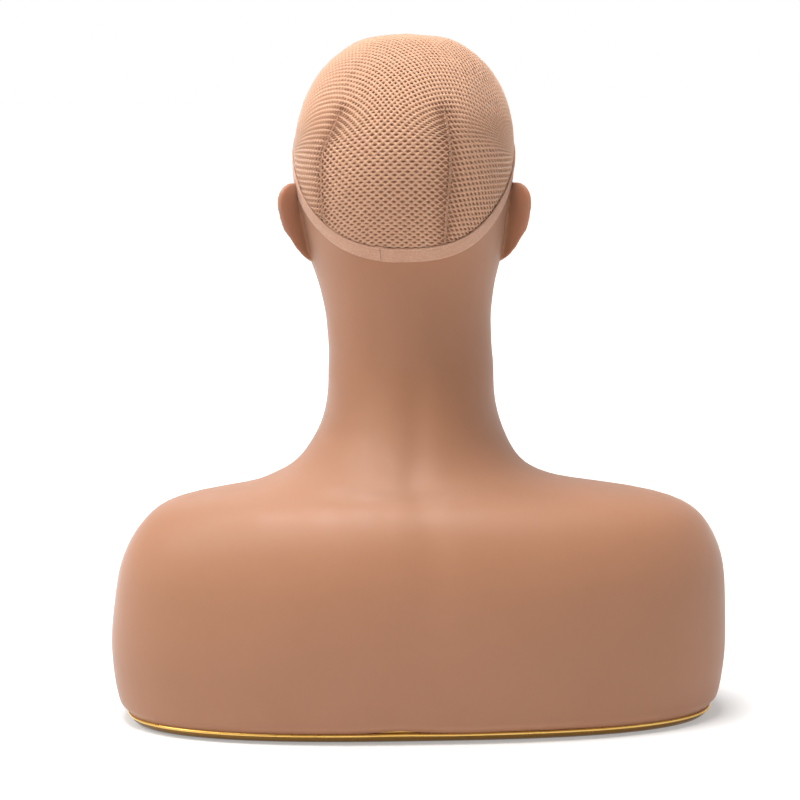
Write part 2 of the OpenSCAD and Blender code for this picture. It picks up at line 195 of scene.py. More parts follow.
def skinNormal(u, side):
    stepU = 0.05
    stepSide = 0.8
    up = skinPoint(np.minimum(u + stepU, last - 0.01), side) - skinPoint(np.maximum(u - stepU, 0), side)
    around = skinPoint(u, side + stepSide) - skinPoint(u, side - stepSide)
    n = np.cross(around, up)
    return n / np.maximum(np.linalg.norm(n, axis=-1, keepdims=True), 1e-9)


def levelAt(z):
    # the section number at a height
    return np.interp(z, fineRows[:, 0], fineU)


def makeObject(name, points, faces, body, material, isSmooth=True):
    mesh = bpy.data.meshes.new(name)
    mesh.from_pydata((np.asarray(points, float) * mm).tolist(), [], [list(map(int, f)) for f in faces])
    mesh.validate()
    mesh.update()
    if isSmooth:
        mesh.shade_smooth()
    obj = bpy.data.objects.new(name, mesh)
    bpy.context.scene.collection.objects.link(obj)
    mesh.materials.append(material)
    if body:
        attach(obj, body)
    return obj


def gridFaces(rows, columns, closed=True, first=0):
    n = columns if closed else columns - 1
    r, c = np.meshgrid(np.arange(rows - 1), np.arange(n), indexing="ij")
    a = first + r * columns + c
    b = first + r * columns + (c + 1) % columns
    return np.stack([a, b, b + columns, a + columns], -1).reshape(-1, 4)


def addAttribute(obj, name, values):
    layer = obj.data.attributes.new(name, "FLOAT", "POINT")
    layer.data.foreach_set("value", np.asarray(values, np.float32))


def newMaterial(name):
    m = bpy.data.materials.new(name)
    m.use_nodes = True
    tree = m.node_tree
    tree.nodes.clear()
    out = tree.nodes.new("ShaderNodeOutputMaterial")
    shader = tree.nodes.new("ShaderNodeBsdfPrincipled")
    tree.links.new(shader.outputs[0], out.inputs[0])
    return m, tree, shader


def node(tree, kind, **values):
    n = tree.nodes.new(kind)
    for key, value in values.items():
        if key in n.inputs:
            n.inputs[key].default_value = value
        else:
            setattr(n, key, value)
    return n


def linear(r, g, b):
    def one(v):
        v = v / 255
        return v / 12.92 if v <= 0.04045 else ((v + 0.055) / 1.055) ** 2.4
    return (one(r), one(g), one(b), 1.0)


def mixColor(tree, factor, a, b, blend="MIX"):
    n = tree.nodes.new("ShaderNodeMix")
    n.data_type = "RGBA"
    n.blend_type = blend
    for socket, value in ((n.inputs[0], factor), (n.inputs[6], a), (n.inputs[7], b)):
        if hasattr(value, "is_linked"):
            tree.links.new(value, socket)
        else:
            socket.default_value = value
    return n.outputs[2]


def noiseOf(tree, coords, scale, detail=4.0, rough=0.5):
    n = node(tree, "ShaderNodeTexNoise", Scale=scale, Detail=detail, Roughness=rough)
    tree.links.new(coords, n.inputs["Vector"])
    return n.outputs["Fac"]


def ramp(tree, value, low, high, a=0.0, b=1.0):
    n = node(tree, "ShaderNodeMapRange")
    n.inputs["From Min"].default_value = low
    n.inputs["From Max"].default_value = high
    n.inputs["To Min"].default_value = a
    n.inputs["To Max"].default_value = b
    tree.links.new(value, n.inputs["Value"])
    return n.outputs["Result"]


def bumpOf(tree, height, strength, distance, before=None):
    n = node(tree, "ShaderNodeBump", Strength=strength, Distance=distance)
    tree.links.new(height, n.inputs["Height"])
    if before is not None:
        tree.links.new(before, n.inputs["Normal"])
    return n.outputs["Normal"]


def attributeOf(tree, name):
    n = tree.nodes.new("ShaderNodeAttribute")
    n.attribute_name = name
    return n.outputs["Fac"]


def mathOf(tree, kind, a, b=0.5):
    n = tree.nodes.new("ShaderNodeMath")
    n.operation = kind
    for socket, value in ((n.inputs[0], a), (n.inputs[1], b)):
        if hasattr(value, "is_linked"):
            tree.links.new(value, socket)
        else:
            socket.default_value = value
    return n.outputs[0]


def objectCoords(tree):
    return node(tree, "ShaderNodeTexCoord").outputs["Object"]


def skinMaterial():
    m, tree, shader = newMaterial("skin")
    coords = objectCoords(tree)
    broad = ramp(tree, noiseOf(tree, coords, 9, 3), 0.3, 0.7)
    fine = ramp(tree, noiseOf(tree, coords, 160, 6, 0.6), 0.35, 0.7)
    speck = ramp(tree, noiseOf(tree, coords, 900, 3, 0.6), 0.62, 0.74)
    color = mixColor(tree, broad, linear(150, 103, 72), linear(156, 107, 77))
    color = mixColor(tree, mathOf(tree, "MULTIPLY", fine, 0.22), color, linear(150, 100, 73))
    color = mixColor(tree, mathOf(tree, "MULTIPLY", speck, 0.10), color, linear(136, 85, 62))
    for name, tint in (("blush", linear(178, 98, 80)), ("lips", linear(152, 70, 66)),
                       ("brows", linear(92, 60, 44)), ("lashes", linear(56, 38, 32))):
        color = mixColor(tree, attributeOf(tree, name), color, tint)
    tree.links.new(color, shader.inputs["Base Color"])
    rough = ramp(tree, noiseOf(tree, coords, 60, 5), 0.3, 0.7, 0.52, 0.60)
    tree.links.new(rough, shader.inputs["Roughness"])
    shader.inputs["IOR"].default_value = 1.45
    shader.inputs["Specular IOR Level"].default_value = 0.55
    shader.inputs["Sheen Weight"].default_value = 0.22
    shader.inputs["Sheen Roughness"].default_value = 0.5
    shader.inputs["Subsurface Weight"].default_value = 0.10
    shader.inputs["Subsurface Radius"].default_value = (1.0, 0.35, 0.2)
    shader.inputs["Subsurface Scale"].default_value = 0.006
    bumps = bumpOf(tree, noiseOf(tree, coords, 1300, 4, 0.6), 0.10, 0.0002)
    bumps = bumpOf(tree, noiseOf(tree, coords, 45, 2), 0.10, 0.0015, bumps)
    tree.links.new(bumps, shader.inputs["Normal"])
    return m


def goldMaterial():
    m, tree, shader = newMaterial("gold_plastic")
    coords = objectCoords(tree)
    shade = ramp(tree, noiseOf(tree, coords, 30, 4), 0.3, 0.7)
    color = mixColor(tree, shade, linear(222, 176, 84), linear(234, 190, 104))
    # painted shade and reflection: below the bead the plate turns a dark olive, standing in for the shade
    # under the bead
    parts = tree.nodes.new("ShaderNodeSeparateXYZ")
    tree.links.new(coords, parts.inputs[0])
    under = ramp(tree, parts.outputs[2], 0.0052, 0.0046)
    color = mixColor(tree, under, color, linear(122, 86, 24))
    tree.links.new(color, shader.inputs["Base Color"])
    shader.inputs["Metallic"].default_value = 0.80
    rough = ramp(tree, noiseOf(tree, coords, 220, 5), 0.3, 0.7, 0.26, 0.38)
    tree.links.new(rough, shader.inputs["Roughness"])
    shader.inputs["Coat Weight"].default_value = 0.25
    shader.inputs["Coat Roughness"].default_value = 0.12
    tree.links.new(bumpOf(tree, noiseOf(tree, coords, 500, 2), 0.04, 0.0001), shader.inputs["Normal"])
    return m


def yarnMaterial(name, light, dark, roughness=0.72):
    m, tree, shader = newMaterial(name)
    coords = objectCoords(tree)
    broad = ramp(tree, noiseOf(tree, coords, 26, 4), 0.3, 0.7)
    fuzz = ramp(tree, noiseOf(tree, coords, 2600, 3, 0.7), 0.3, 0.72)
    color = mixColor(tree, fuzz, dark, light)
    color = mixColor(tree, mathOf(tree, "MULTIPLY", broad, 0.25), color, dark)
    tree.links.new(color, shader.inputs["Base Color"])
    shader.inputs["Roughness"].default_value = roughness
    shader.inputs["Specular IOR Level"].default_value = 0.35
    shader.inputs["Sheen Weight"].default_value = 0.55
    shader.inputs["Sheen Roughness"].default_value = 0.35
    bumps = bumpOf(tree, noiseOf(tree, coords, 3200, 3, 0.7), 0.6, 0.0003)
    tree.links.new(bumps, shader.inputs["Normal"])
    return m


def bandMaterial():
    m, tree, shader = newMaterial("elastic")
    coords = objectCoords(tree)
    around = attributeOf(tree, "bandAround")
    across = attributeOf(tree, "bandAcross")
    ribPitch = 0.72
    coursePitch = 0.62
    ribs = mathOf(tree, "SINE", mathOf(tree, "MULTIPLY", around, 2 * math.pi / ribPitch))
    courses = mathOf(tree, "SINE", mathOf(tree, "MULTIPLY", across, 2 * math.pi / coursePitch))
    weave = mathOf(tree, "MULTIPLY", ribs, courses)
    flecks = ramp(tree, noiseOf(tree, coords, 1500, 3, 0.7), 0.42, 0.66)
    broad = ramp(tree, noiseOf(tree, coords, 60, 3), 0.3, 0.7)
    color = mixColor(tree, flecks, linear(182, 136, 108), linear(214, 172, 144))
    color = mixColor(tree, mathOf(tree, "MULTIPLY", broad, 0.3), color, linear(180, 130, 106))
    # painted shade: the colour darkens where the weave dips, in the hollows between ribs and courses
    color = mixColor(tree, ramp(tree, weave, -1, 1, 0.18, 0.0), color, linear(134, 90, 70))
    tree.links.new(color, shader.inputs["Base Color"])
    shader.inputs["Roughness"].default_value = 0.78
    shader.inputs["Sheen Weight"].default_value = 0.3
    bumps = bumpOf(tree, weave, 0.45, 0.0003)
    bumps = bumpOf(tree, noiseOf(tree, coords, 2200, 3, 0.7), 0.5, 0.0003, bumps)
    tree.links.new(bumps, shader.inputs["Normal"])
    return m


def woodMaterial():
    m, tree, shader = newMaterial("plywood")
    coords = objectCoords(tree)
    stretch = node(tree, "ShaderNodeMapping")
    stretch.inputs["Scale"].default_value = (6, 90, 900)
    tree.links.new(coords, stretch.inputs["Vector"])
    grain = ramp(tree, noiseOf(tree, stretch.outputs[0], 1.0, 5, 0.6), 0.3, 0.7)
    color = mixColor(tree, grain, linear(196, 158, 112), linear(222, 190, 146))
    tree.links.new(color, shader.inputs["Base Color"])
    shader.inputs["Roughness"].default_value = 0.65
    tree.links.new(bumpOf(tree, grain, 0.25, 0.0004), shader.inputs["Normal"])
    return m


def steelMaterial():
    m, tree, shader = newMaterial("screw_steel")
    coords = objectCoords(tree)
    shader.inputs["Base Color"].default_value = linear(190, 190, 186)
    shader.inputs["Metallic"].default_value = 1.0
    rough = ramp(tree, noiseOf(tree, coords, 900, 4), 0.3, 0.7, 0.22, 0.42)
    tree.links.new(rough, shader.inputs["Roughness"])
    tree.links.new(bumpOf(tree, noiseOf(tree, coords, 1500, 3), 0.1, 0.0002), shader.inputs["Normal"])
    return m


skinLook = skinMaterial()
goldLook = goldMaterial()
woodLook = woodMaterial()
steelLook = steelMaterial()
netLook = yarnMaterial("net_yarn", linear(206, 164, 133), linear(173, 128, 100))
threadLook = yarnMaterial("seam_thread", linear(212, 168, 134), linear(190, 142, 110))
darkThreadLook = yarnMaterial("join_thread", linear(150, 96, 74), linear(112, 68, 52))
bandLook = bandMaterial()


# The bust's moulded skin. The face is a calm one with closed eyes, raised out of the sections.
face = {
    "eyeOut": 31.0,
    "eyeHalf": 15.5,
    "lashZ": 338.0,
    "creaseZ": 350.0,
    "browZ": 357.5,
    "wingZ": 297.0,
    "lipTopZ": 283.6,
    "lipLineZ": 276.4,
    "lipLowZ": 267.2,
    "mouthHalf": 25.5,
    "chinZ": 249.0,
}
# how far the nose's ridge stands out at each height, and how wide the nose is
noseRidge = np.array([
    [286, 0.0], [290, 0.1], [293, 0.9], [295, 3.6], [296.4, 9.5], [297.8, 17.0], [299.6, 21.8],
    [302.5, 24.2], [305.5, 24.0], [309, 22.0], [315, 18.0], [325, 12.6], [335, 7.6], [342, 4.6],
    [347, 3.2], [353, 1.6], [362, 0.0]])
noseWidth = np.array([
    [285, 11], [292, 11], [298, 10.5], [305, 10.5], [315, 9.2], [325, 8.6], [340, 8.2], [356, 12]])


def headX(z):
    return np.interp(z, fineRows[:, 0], fineRows[:, 7])


def faceRelief(x, z):
    # how far the face stands out at x from its middle line and height z, and the masks of its paint
    ax = np.abs(x)
    fromEye = ax - face["eyeOut"]
    # sockets and closed lids
    lid = clamp01(1 - (fromEye / face["eyeHalf"]) ** 2)
    d = -6.0 * bell(ax - 30, 14.5) * bell(z - 346, 10)
    d += 4.6 * bell(ax - 31.5, 11.5) * bell(z - 342.5, 7.2)
    lash = face["lashZ"] + 0.014 * fromEye ** 2 + 0.03 * fromEye
    d += (-1.0 * bell(z - lash, 0.75) + 0.45 * bell(z - lash - 1.5, 0.9)) * lid ** 0.5
    crease = face["creaseZ"] - 0.012 * fromEye ** 2
    d += (-1.1 * bell(z - crease, 1.1) + 0.7 * bell(z - crease - 2.6, 2.0)) * lid ** 0.5
    d += -0.7 * bell(z - (332.5 + 0.010 * (ax - 29) ** 2), 1.8) * bell(ax - 27, 12)
    brow = face["browZ"] + 3.0 * clamp01((ax - 8) / 26) - 0.010 * np.maximum(ax - 34, 0) ** 2
    d += 2.6 * bell(z - brow, 5.0) * bell(ax - 30, 19)
    # nose, its wings and nostrils, and the groove below it
    width = np.interp(z, noseWidth[:, 0], noseWidth[:, 1])
    d += np.interp(z, noseRidge[:, 0], noseRidge[:, 1]) * np.exp(-(ax / width) ** 2.3)
    wing = 1 / (1 + np.exp(-(z - face["wingZ"]) / 0.55)) * bell(z - 300.5, 6.2)
    d += 10.0 * bell(ax - 13.0, 4.4) * wing
    d += -2.2 * bell(ax - 18.6, 1.8) * bell(z - 300, 6)
    d += -9.0 * bell(ax - 6.4, 2.7) * bell(z - 296.6, 1.5)
    d += (-1.0 * bell(x, 2.6) + 0.6 * bell(ax - 4.6, 1.8)) * bell(z - 288.5, 5.5)
    # mouth
    d += 2.6 * bell(x, 23) * bell(z - 279, 15)
    span = clamp01(1 - (ax / face["mouthHalf"]) ** 2)
    top = face["lipTopZ"] + 1.4 * bell(ax - 5.2, 4.0) - 1.0 * bell(x, 2.6) - 0.0085 * ax ** 2
    line = face["lipLineZ"] - 0.9 * bell(x, 5) + 0.3 * bell(ax - 10, 6) - 0.0012 * ax ** 2
    low = face["lipLowZ"] + 0.012 * ax ** 2
    upper = clamp01((z - line) / np.maximum(top - line, 0.5))
    lower = clamp01((line - z) / np.maximum(line - low, 0.5))
    d += 3.6 * span ** 0.7 * np.sin(np.pi * upper) ** 0.75
    d += 4.6 * span ** 0.7 * np.sin(np.pi * lower) ** 0.8
    d += -1.9 * bell(z - line, 0.8) * clamp01((27 - ax) / 3)
    d += -1.3 * bell(ax - 27, 3.2) * bell(z - 275.5, 3.4)
    lips = np.maximum(smooth(upper, 0, 0.12) * smooth(-upper, -1, -0.88),
                      smooth(lower, 0, 0.1) * smooth(-lower, -1, -0.86))
    lips = lips * smooth(span, 0.02, 0.16)
    # chin, and the fold from nose to mouth
    d += 2.8 * bell(x, 15) * bell(z - face["chinZ"], 9) - 2.0 * bell(x, 17) * bell(z - 262, 3.6)
    fold = ax - (16 + (298 - z) * 0.50)
    d += -0.7 * bell(fold, 2.4) * smooth(z, 276, 286) * (1 - smooth(z, 296, 304))
    brows = smooth(bell(z - brow - 1.5, 2.3 * (0.5 + 0.5 * bell(ax - 18, 16))), 0.35, 0.75)
    brows = brows * smooth(ax, 10, 14) * (1 - smooth(ax, 46, 52))
    lashes = smooth(bell(z - lash + 0.1, 0.9), 0.3, 0.8) * smooth(lid, 0.02, 0.3)
    blush = 0.38 * bell(ax - 42, 15) * bell(z - 313, 13) + 0.25 * bell(x, 9) * bell(z - 303, 6)
    return d, lips, brows, lashes, blush


def cheekRelief(x, z):
    # cheek bones, and the hollows below them and at the temples
    ax = np.abs(x)
    d = 2.6 * bell(ax - 49, 12) * bell(z - 322, 12) - 2.2 * bell(ax - 46, 11) * bell(z - 291, 15)
    d += -1.4 * bell(ax - 62, 9) * bell(z - 366, 14)
    return d


skin = {
    "columns": 250,
    "rows": 298,
    "hemTuck": 2.3,   # how far the soft edge is drawn in on the gold lip
    "hemHeight": 26.0,
    "hemFold": [(0.9, -0.35), (2.2, -0.2), (3.0, 0.6), (3.1, 4.0)],   # inwards and up
}


def skinSides(columns):
    # the angles of the columns, closer together where the face is
    angle = np.linspace(0, 360, 3601)
    density = 1 + 2.9 * np.exp(-np.abs((angle - 270) / 34) ** 3)
    total = np.concatenate([[0], np.cumsum((density[1:] + density[:-1]) / 2)])
    return np.interp(np.arange(columns) / columns * total[-1], total, angle)


def stepLengths(path):
    return np.linalg.norm(np.diff(path, axis=0), axis=1)


def skinLevels():
    # the heights of the rows, closer together over the face, at the nostrils and at the hem
    back = skinPoint(fineU, np.full_like(fineU, 80.0))
    front = skinPoint(fineU, np.full_like(fineU, 280.0))
    z = fineRows[:, 0]
    length = stepLengths(back) + stepLengths(front)
    weight = 0.27 + 0.75 * smooth(z, 236, 246) * (1 - smooth(z, 364, 374)) + 2.2 * bell(z - 296.4, 2.4)
    weight += 1.0 * (1 - smooth(z, 12, 20)) + 0.30 * bell(z - 230, 10)
    parts = np.concatenate([[0], np.cumsum(length * (weight[1:] + weight[:-1]) / 2)])
    u = np.interp(np.linspace(0, parts[-1], skin["rows"]), parts, fineU)
    u[-1] = last - 0.05
    return u


def skinGrid():
    columns = skin["columns"]
    rows = skin["rows"]
    uu, ss = np.meshgrid(skinLevels(), skinSides(columns), indexing="ij")
    p = skinPoint(uu, ss)
    n = skinNormal(uu, ss)
    x = p[..., 0] - headX(p[..., 2])
    z = p[..., 2]
    isFront = smooth(-n[..., 1], 0.10, 0.42)
    d, lips, brows, lashes, blush = faceRelief(x, z)
    onFace = isFront * smooth(z, 238, 246) * (1 - smooth(z, 372, 384))
    p[..., 1] -= d * onFace
    p += n * (cheekRelief(x, z) * smooth(-n[..., 1], -0.1, 0.3) * smooth(z, 250, 262))[..., None]
    p += n * bodyRelief(p, n)[..., None]
    tuck = skin["hemTuck"] * (1 - smooth(z, bust["baseHeight"], 13)) ** 1.3
    flat = n * [1, 1, 0]
    p -= flat * tuck[..., None]
    hem = 1 - smooth(z, bust["baseHeight"], skin["hemHeight"])
    p[..., 2] += hem * hemWave(p)
    points = p.reshape(-1, 3)
    faces = gridFaces(rows, columns).tolist()
    top = len(points)
    points = np.concatenate([points, [[bust["crownOffset"], points[-columns:, 1].mean(), crownZ + 0.05]]])
    ring = (rows - 1) * columns
    faces += [[ring + i, ring + (i + 1) % columns, top] for i in range(columns)]
    # the hem turns in under the skin, so that it has a wall's thickness
    first = len(points)
    hemIn = [p[0] - flat[0] * inward + [0, 0, lift] for inward, lift in skin["hemFold"]]
    points = np.concatenate([points] + hemIn)
    for k in range(len(hemIn)):
        start = 0 if k == 0 else first + (k - 1) * columns
        for i in range(columns):
            j = (i + 1) % columns
            faces.append([start + j, start + i, first + k * columns + i, first + k * columns + j])
    extra = len(points) - top
    masks = {}
    for name, v in (("lips", lips), ("brows", brows), ("lashes", lashes), ("blush", blush)):
        masks[name] = np.concatenate([(v * onFace).reshape(-1), np.zeros(extra)])
    return points, faces, masks


def bodyRelief(p, n):
    # spine, shoulder blades, neck cords, collar bones and the hollow of the throat
    x = p[..., 0] - headX(p[..., 2])
    ax = np.abs(x)
    z = p[..., 2]
    back = smooth(n[..., 1], 0.1, 0.6)
    front = smooth(-n[..., 1], 0.1, 0.6)
    d = -1.3 * bell(x, 10) * smooth(z, 18, 60) * (1 - smooth(z, 215, 250)) * back
    d += 1.3 * bell(ax - 78, 42) * bell(z - 78, 46) * back
    d += -0.8 * bell(ax - 24, 9) * bell(z - 250, 26) * back   # hollows beside the nape
    # the cords run from the throat to behind the ears
    cordX = 13 + 47 * clamp01((z - 166) / (305 - 166))
    cordSide = smooth(-n[..., 1], -0.75, 0.1)
    d += 1.5 * bell(ax - cordX, 7.5) * smooth(z, 160, 190) * (1 - smooth(z, 262, 292)) * cordSide * front
    boneZ = 151 + 5.0 * clamp01((ax - 10) / 120) - 0.00016 * np.maximum(ax - 110, 0) ** 2
    d += 2.4 * bell(z - boneZ, 4.6) * smooth(ax, 10, 24) * (1 - smooth(ax, 120, 165)) * front
    d += -2.2 * bell(z - boneZ - 11, 8) * smooth(ax, 26, 48) * (1 - smooth(ax, 84, 118)) * front
    d += -2.6 * bell(x, 9) * bell(z - 157, 8) * front
    d += 0.9 * bell(x, 8) * bell(z - 205, 12) * front
    return d


def hemWave(p):
    # the soft skin's lower edge wanders a little on the gold lip
    x = p[..., 0]
    isBack = smooth(p[..., 1] - shiftY, 20, 60)
    wave = 1.7 * bell(x - 17, 17) - 0.5 * bell(x + 26, 20)
    wave += 0.35 * np.sin(x / 31.0 + 0.6) * np.sin(x / 53.0)
    other = 0.5 * np.sin(x / 41.0 + 1.2)
    return wave * isBack + other * (1 - isBack)


def remeshed(points, faces, voxel, rounds):
    # melts overlapping closed shapes into one skin
    mesh = bpy.data.meshes.new("rough")
    mesh.from_pydata((np.asarray(points) * mm).tolist(), [], [list(map(int, f)) for f in faces])
    mesh.update()
    obj = bpy.data.objects.new("rough", mesh)
    bpy.context.scene.collection.objects.link(obj)
    mod = obj.modifiers.new("remesh", "REMESH")
    mod.mode = "VOXEL"
    mod.voxel_size = voxel * mm
    ease = obj.modifiers.new("ease", "SMOOTH")
    ease.factor = 0.5
    ease.iterations = rounds
    bpy.context.view_layer.update()
    found = obj.evaluated_get(bpy.context.evaluated_depsgraph_get())
    made = bpy.data.meshes.new_from_object(found)
    co = np.zeros(len(made.vertices) * 3)
    made.vertices.foreach_get("co", co)
    result = co.reshape(-1, 3) * 1000, [list(f.vertices) for f in made.polygons]
    bpy.data.objects.remove(obj)
    bpy.data.meshes.remove(mesh)
    bpy.data.meshes.remove(made)
    return result


def closedSpline(points, count):
    p = np.array(points, float)
    n = len(p)
    t = np.arange(count) / count * n
    i = t.astype(int)
    f = (t - i)[:, None]
    a, b, c, d = p[(i - 1) % n], p[i % n], p[(i + 1) % n], p[(i + 2) % n]
    return splineAt(a, b, c, d, f)


# The ear is drawn flat, in a along the head and b upwards, then leant out from the head
ear = {
    "low": 302.5,
    "sunk": 3.6,
    "lean": 23.0,
    "tilt": 9.0,
    "slope": 0.11,
    "middle": (13.0, 28.0),
    "voxel": 1.05,
    "easeRounds": 7,
    "keepDepth": 2.2,
    "outline": [(-4, 35), (-1, 44), (5, 50.5), (13, 54), (21.5, 53), (28, 48.5), (31, 41), (31, 32),
                (29.5, 23.5), (27, 16.5), (23.5, 9.5), (18.5, 3.6), (12, 0), (5, -0.5), (-1, 3),
                (-4, 13), (-5, 25)],
}


def earSurface(a, b, edge):
    # heights of the ear's front, and of its back, over its flat drawing; edge is the distance to the rim
    front = 3.2 * bell(edge - 2.6, 2.3) * smooth(b, 15, 24)   # the rolled rim, and the groove inside it
    front += -1.8 * bell(edge - 6.4, 2.0) * smooth(b, 20, 28) * smooth(a, 8, 14)
    arcX = 20.5 - 0.012 * (b - 30) ** 2
    front += 3.4 * bell(a - arcX, 2.8) * smooth(b, 12, 18) * (1 - smooth(b, 42, 49))   # the inner fold
    front += -7.0 * np.exp(-((a - 10) / 7.2) ** 4 - ((b - 25) / 9.5) ** 4)   # the bowl
    front += -2.2 * bell(a - 11.5, 6.0) * bell(b - 41, 4.6)
    front += 1.6 * bell(b - 33 - (a - 8) * 0.25, 1.7) * bell(a - 7, 7)
    front += 3.6 * bell(a - 0.5, 3.4) * bell(b - 24.5, 4.6)
    front += 3.0 * bell(a - 13.5, 3.6) * bell(b - 13.0, 2.8)
    front += 0.9 * bell(a - 9, 7) * bell(b - 5, 4)   # the lobe
    back = 0.9 + 2.8 * (1 - np.exp(-edge / 3.6)) + 2.4 * bell(a - 11, 9) * bell(b - 26, 13)
    return front, np.maximum(back, 2.0 - front)


def earShell():
    # the ear's front and back as one closed shell, standing beside the head
    rim = closedSpline(ear["outline"], 110)
    middle = np.array(ear["middle"])
    rings = 34
    share = np.linspace(0.02, 1, rings)
    flatPoints = middle + share[:, None, None] * (rim - middle)[None]
    edge = (1 - share)[:, None] * np.linalg.norm(rim - middle, axis=1)[None]
    a = flatPoints[..., 0]
    b = flatPoints[..., 1]
    front, back = earSurface(a, b, edge)
    bow = 0.011 * (a - 4) ** 2 * 0.5 - 2.2 * bell(b - 2, 9)   # the shell curves away from the head
    lean = math.radians(ear["lean"])
    tilt = math.radians(ear["tilt"])
    headAt = fineRows[np.searchsorted(fineRows[:, 0], ear["low"] + 8)]
    origin = np.array([headAt[1] - ear["sunk"], shiftY + headWide, ear["low"]])
    axisA = np.array([math.sin(lean), math.cos(lean), 0.0])
    axisB = np.array([ear["slope"], math.sin(tilt), math.cos(tilt)])
    axisB /= np.linalg.norm(axisB)
    outward = np.cross(axisA, axisB)
    outward /= np.linalg.norm(outward)

    def place(height):
        return origin + a[..., None] * axisA + b[..., None] * axisB + (height + bow)[..., None] * outward

    n = len(rim)
    points = np.concatenate([place(front).reshape(-1, 3), place(-back).reshape(-1, 3)])
    half = rings * n
    faces = gridFaces(rings, n)[:, ::-1].tolist() + gridFaces(rings, n, first=half).tolist()
    outer = (rings - 1) * n
    below = half + outer
    faces += [[outer + (i + 1) % n, outer + i, below + i, below + (i + 1) % n] for i in range(n)]
    faces.append(list(range(n)))
    faces.append([half + i for i in range(n - 1, -1, -1)])
    return points, faces


def earRoot(first):
    # a patch of the head round the root, so that the ear grows out of it with a soft fillet
    rows = 60
    columns = 40
    levels = levelAt(np.linspace(ear["low"] - 12, ear["low"] + 66, rows))
    uu, ss = np.meshgrid(levels, np.linspace(-24, 40, columns), indexing="ij")
    shell = skinPoint(uu, ss)
    normal = skinNormal(uu, ss)
    shell[..., 0] -= headX(shell[..., 2])
    r = np.abs(np.linspace(-1, 1, rows))[:, None]
    c = np.abs(np.linspace(-1, 1, columns))[None]
    # it dips under the skin towards its own edge
    lift = 0.26 - 1.1 * smooth(np.maximum(r, c), 0.45, 1.0)
    outer = shell + normal * lift[..., None]
    inner = shell - normal * 6.0
    points = np.concatenate([outer.reshape(-1, 3), inner.reshape(-1, 3)])
    count = rows * columns
    faces = gridFaces(rows, columns, False, first).tolist()
    faces += gridFaces(rows, columns, False, first + count)[:, ::-1].tolist()
    loop = ([i for i in range(columns)] + [i * columns + columns - 1 for i in range(1, rows)]
            + [(rows - 1) * columns + i for i in range(columns - 2, -1, -1)]
            + [i * columns for i in range(rows - 2, 0, -1)])
    for i, j in zip(loop, loop[1:] + loop[:1]):
        faces.append([first + j, first + i, first + count + i, first + count + j])
    return points, faces


def angleAbout(p):
    return np.degrees(np.arctan2(p[:, 1] - shiftY - headWide, p[:, 0]))


def makeEar(mirror):
    points, faces = earShell()
    rootPoints, rootFaces = earRoot(len(points))
    points = np.concatenate([points, rootPoints])
    points, faces = remeshed(points, faces + rootFaces, ear["voxel"], ear["easeRounds"])
    # what lies deep inside the head goes
    z = points[:, 2]
    angle = angleAbout(points)
    around = angle
    for n in range(6):
        surface = skinPoint(levelAt(z), around)
        surface[:, 0] -= headX(z)
        around = around + (angle - angleAbout(surface))
    depth = np.hypot(surface[:, 0], surface[:, 1] - shiftY) - np.hypot(points[:, 0], points[:, 1] - shiftY)
    keep = depth < ear["keepDepth"]
    index = np.cumsum(keep) - 1
    faces = [[index[v] for v in f] for f in faces if all(keep[v] for v in f)]
    points = points[keep]
    tint = smooth(-depth[keep], 2.0, 9.0)
    if mirror:
        points = points * [-1, 1, 1]
        faces = [f[::-1] for f in faces]
    points[:, 0] += headX(points[:, 2])
    return points, faces, tint


def makeSkin():
    points, faces, masks = skinGrid()
    for mirror in (False, True):
        earPoints, earFaces, tint = makeEar(mirror)
        first = len(points)
        faces += [[first + v for v in f] for f in earFaces]
        points = np.concatenate([points, earPoints])
        for name in masks:
            share = 0.15 if name == "blush" else 0
            masks[name] = np.concatenate([masks[name], share * tint])
    obj = makeObject("bust_skin", points, faces, "bust", skinLook)
    for name, values in masks.items():
        addAttribute(obj, name, values)
    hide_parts("bust_shell")
    print("skin", len(points), "points", sum(len(f) - 2 for f in faces), "triangles")


makeSkin()


# The gold base: a thin bead under the hem, then a cove that curls under to the feet of the plate.
# Its outline is the skin's, and each pair says how far inside the skin's hem, and how high.
base = {
    "columns": 500,
    "beadRadius": 0.95,
    "beadIn": 0.40,
    "beadZ": 5.85,
    "waveShare": 0.22,
    "rim": [(1.8, 12.0), (1.6, 7.2)],
    "cove": [(0.1, 4.75), (0.45, 4.4), (0.6, 4.0), (0.9, 3.2), (1.6, 2.3),
             (2.6, 1.4), (3.8, 0.7), (5.2, 0.25), (7.0, 0.02), (12, 0.0)],
    "panel": [(0.955, 0.0), (0.945, 0.25), (0.938, 0.75), (0.93, 0.9), (0.915, 0.95)],
}
screws = {"x": 142.0, "y": 42.0, "middle": 0.02, "headHole": 4.3, "shankHole": 2.3}


def screwPlaces():
    middleY = shiftY + halfDepth * screws["middle"]
    return [(x * screws["x"], middleY + y * screws["y"]) for y in (-1, 1) for x in (-1, 1)]


